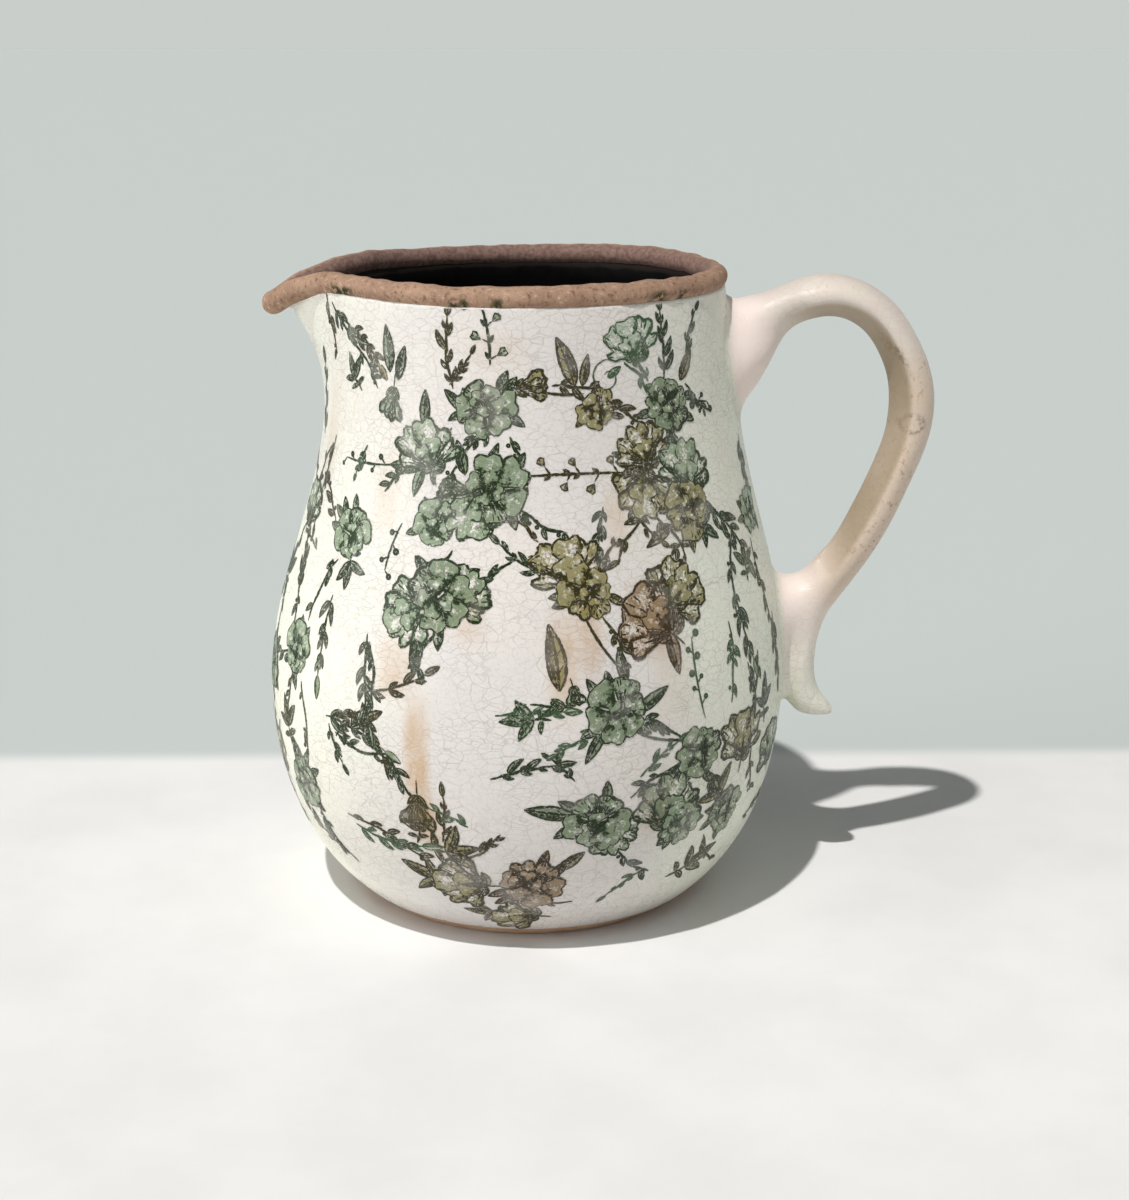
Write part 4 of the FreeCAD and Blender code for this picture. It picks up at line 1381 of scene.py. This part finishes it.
def make_print():
    """The pattern round the front, and the same order mirrored, moved, reshaped and re-inked at the back."""
    wrap = Wrap()
    other_ink = {"green": "olive", "olive": "green", "sage": "sage", "brown": "green", "teal": "teal"}

    def lay_both(seed, back_seed, spread, shape, size, bend, angle, height, turn, ink):
        """A shape on the front and its copy at the back, which differs in size by up to spread."""
        motif = Motif(seed)
        getattr(motif, shape)(size, bend)
        wrap.lay(motif, angle, height, turn, ink)
        motif = Motif(back_seed)
        if spread:
            size *= motif.draw.uniform(1 - spread, 1 + spread)
        getattr(motif, shape)(size, -bend)
        higher = BACK_SHIFT * math.sin(math.radians(3 * angle))
        wrap.lay(motif, 360 - angle, height + higher, -turn, other_ink[ink])

    for seed, (shape, angle, height, size, turn, ink, bend) in enumerate(PRINT):
        lay_both(seed, seed + 500, 0.1, shape, size * PRINT_SCALE, bend, angle, height, turn, ink)
    for seed, (angle, height, end_angle, end_height, bend, ink) in enumerate(VINES):
        wide, tall = wrap.span(angle, height, end_angle, end_height)
        turn = math.degrees(math.atan2(-wide, tall))
        length = math.hypot(wide, tall)
        lay_both(seed + 1000, seed + 1500, 0, "twig", length, bend, angle, height, turn, ink)
    wrap.make()


# ---------------------------------------------------------------- stage, light, camera

# Half the floor's width, and how far behind the pitcher's middle it changes its colour, in metres
FLOOR_HALF = 60.0
FLOOR_SEAM = (0.102, 0.118)
# The camera, set to see what the photo shows: lens and sensor in millimetres, place in metres, degrees
LENS, SENSOR = 59.76, 36
CAMERA_PLACE = (0, -0.617, 0.266)
CAMERA_PITCH, CAMERA_YAW = -15.72, 1.05


def make_stage():
    """Pale floor that turns grey-green some way behind the pitcher."""
    corners = [(x * FLOOR_HALF, y * FLOOR_HALF, 0) for x, y in ((-1, -1), (1, -1), (1, 1), (-1, 1))]
    mesh = bpy.data.meshes.new("floor")
    mesh.from_pydata(corners, [], [(0, 1, 2, 3)])
    floor = linked("floor", mesh)
    paint = Paint("floor", specular=0.2)
    cloud = paint.noise(60 * MM, 4.0)
    near = paint.mix(paint.ramp(cloud, 0.3, 0.7), tone(222, 221, 220), tone(229, 228, 227))
    depth = paint.plus(paint.axis(1), paint.times(cloud, 0.004))
    colour = paint.mix(paint.ramp(depth, *FLOOR_SEAM), near, tone(191, 197, 195))
    mesh.materials.append(paint.finish(colour, paint.bump(cloud, 0.3 * MM), 0.85))


def make_light():
    """A high lamp from the front left, a broad fill from the left, a weak one from the right, a pale room.

    Each lamp: name, the way it shines, its width in degrees, its strength and its colour.
    """
    lamps = (
        ("key", Vector((0.24, 0.43, -1)), 1.4, 2.9, (1.0, 0.985, 0.965)),
        ("fill", Vector((1.0, 0.35, -0.12)), 50.0, 1.9, (1.0, 1.0, 0.985)),
        ("side", Vector((-1.0, 0.45, -0.2)), 50.0, 0.12, (1.0, 1.0, 0.98)),
    )
    for name, heading, softness, strength, colour in lamps:
        data = bpy.data.lights.new(name, "SUN")
        data.angle = math.radians(softness)
        data.energy = strength
        data.color = colour
        linked(name, data).rotation_euler = heading.to_track_quat("-Z", "Y").to_euler()
    world = bpy.data.worlds.new("room")
    world.use_nodes = True
    tree = world.node_tree
    background = tree.nodes["Background"]
    direction = tree.nodes.new("ShaderNodeTexCoord").outputs["Generated"]
    split = tree.nodes.new("ShaderNodeSeparateXYZ")
    tree.links.new(direction, split.inputs[0])
    ramp = tree.nodes.new("ShaderNodeValToRGB")
    tree.links.new(split.outputs["Z"], ramp.inputs[0])
    horizon, zenith = ramp.color_ramp.elements
    horizon.position, horizon.color = 0.04, tone(248, 254, 250)
    zenith.position, zenith.color = 0.5, tone(140, 143, 143)
    ramp.color_ramp.elements.new(0.16).color = tone(222, 228, 226)
    tree.links.new(ramp.outputs[0], background.inputs["Color"])
    background.inputs["Strength"].default_value = 0.62
    bpy.context.scene.world = world
    bpy.context.scene.view_settings.view_transform = "Standard"


def make_camera():
    """Slightly above the rim, as a person sees the pitcher on a table."""
    data = bpy.data.cameras.new("camera")
    data.lens = LENS
    data.sensor_width = SENSOR
    camera = linked("camera", data)
    pitch, yaw = math.radians(CAMERA_PITCH), math.radians(CAMERA_YAW)
    look = Vector((math.sin(yaw) * math.cos(pitch), math.cos(yaw) * math.cos(pitch), math.sin(pitch)))
    camera.location = CAMERA_PLACE
    camera.rotation_euler = look.to_track_quat("-Z", "Y").to_euler()
    bpy.context.scene.camera = camera


make_wall(wall_glaze())
make_liner(liner_glaze())
make_rim(rim_clay())
make_print()
make_handle(handle_glaze())
nodes["foot_ring"].data.materials.clear()
nodes["foot_ring"].data.materials.append(bare_clay())
make_stage()
make_light()
make_camera()
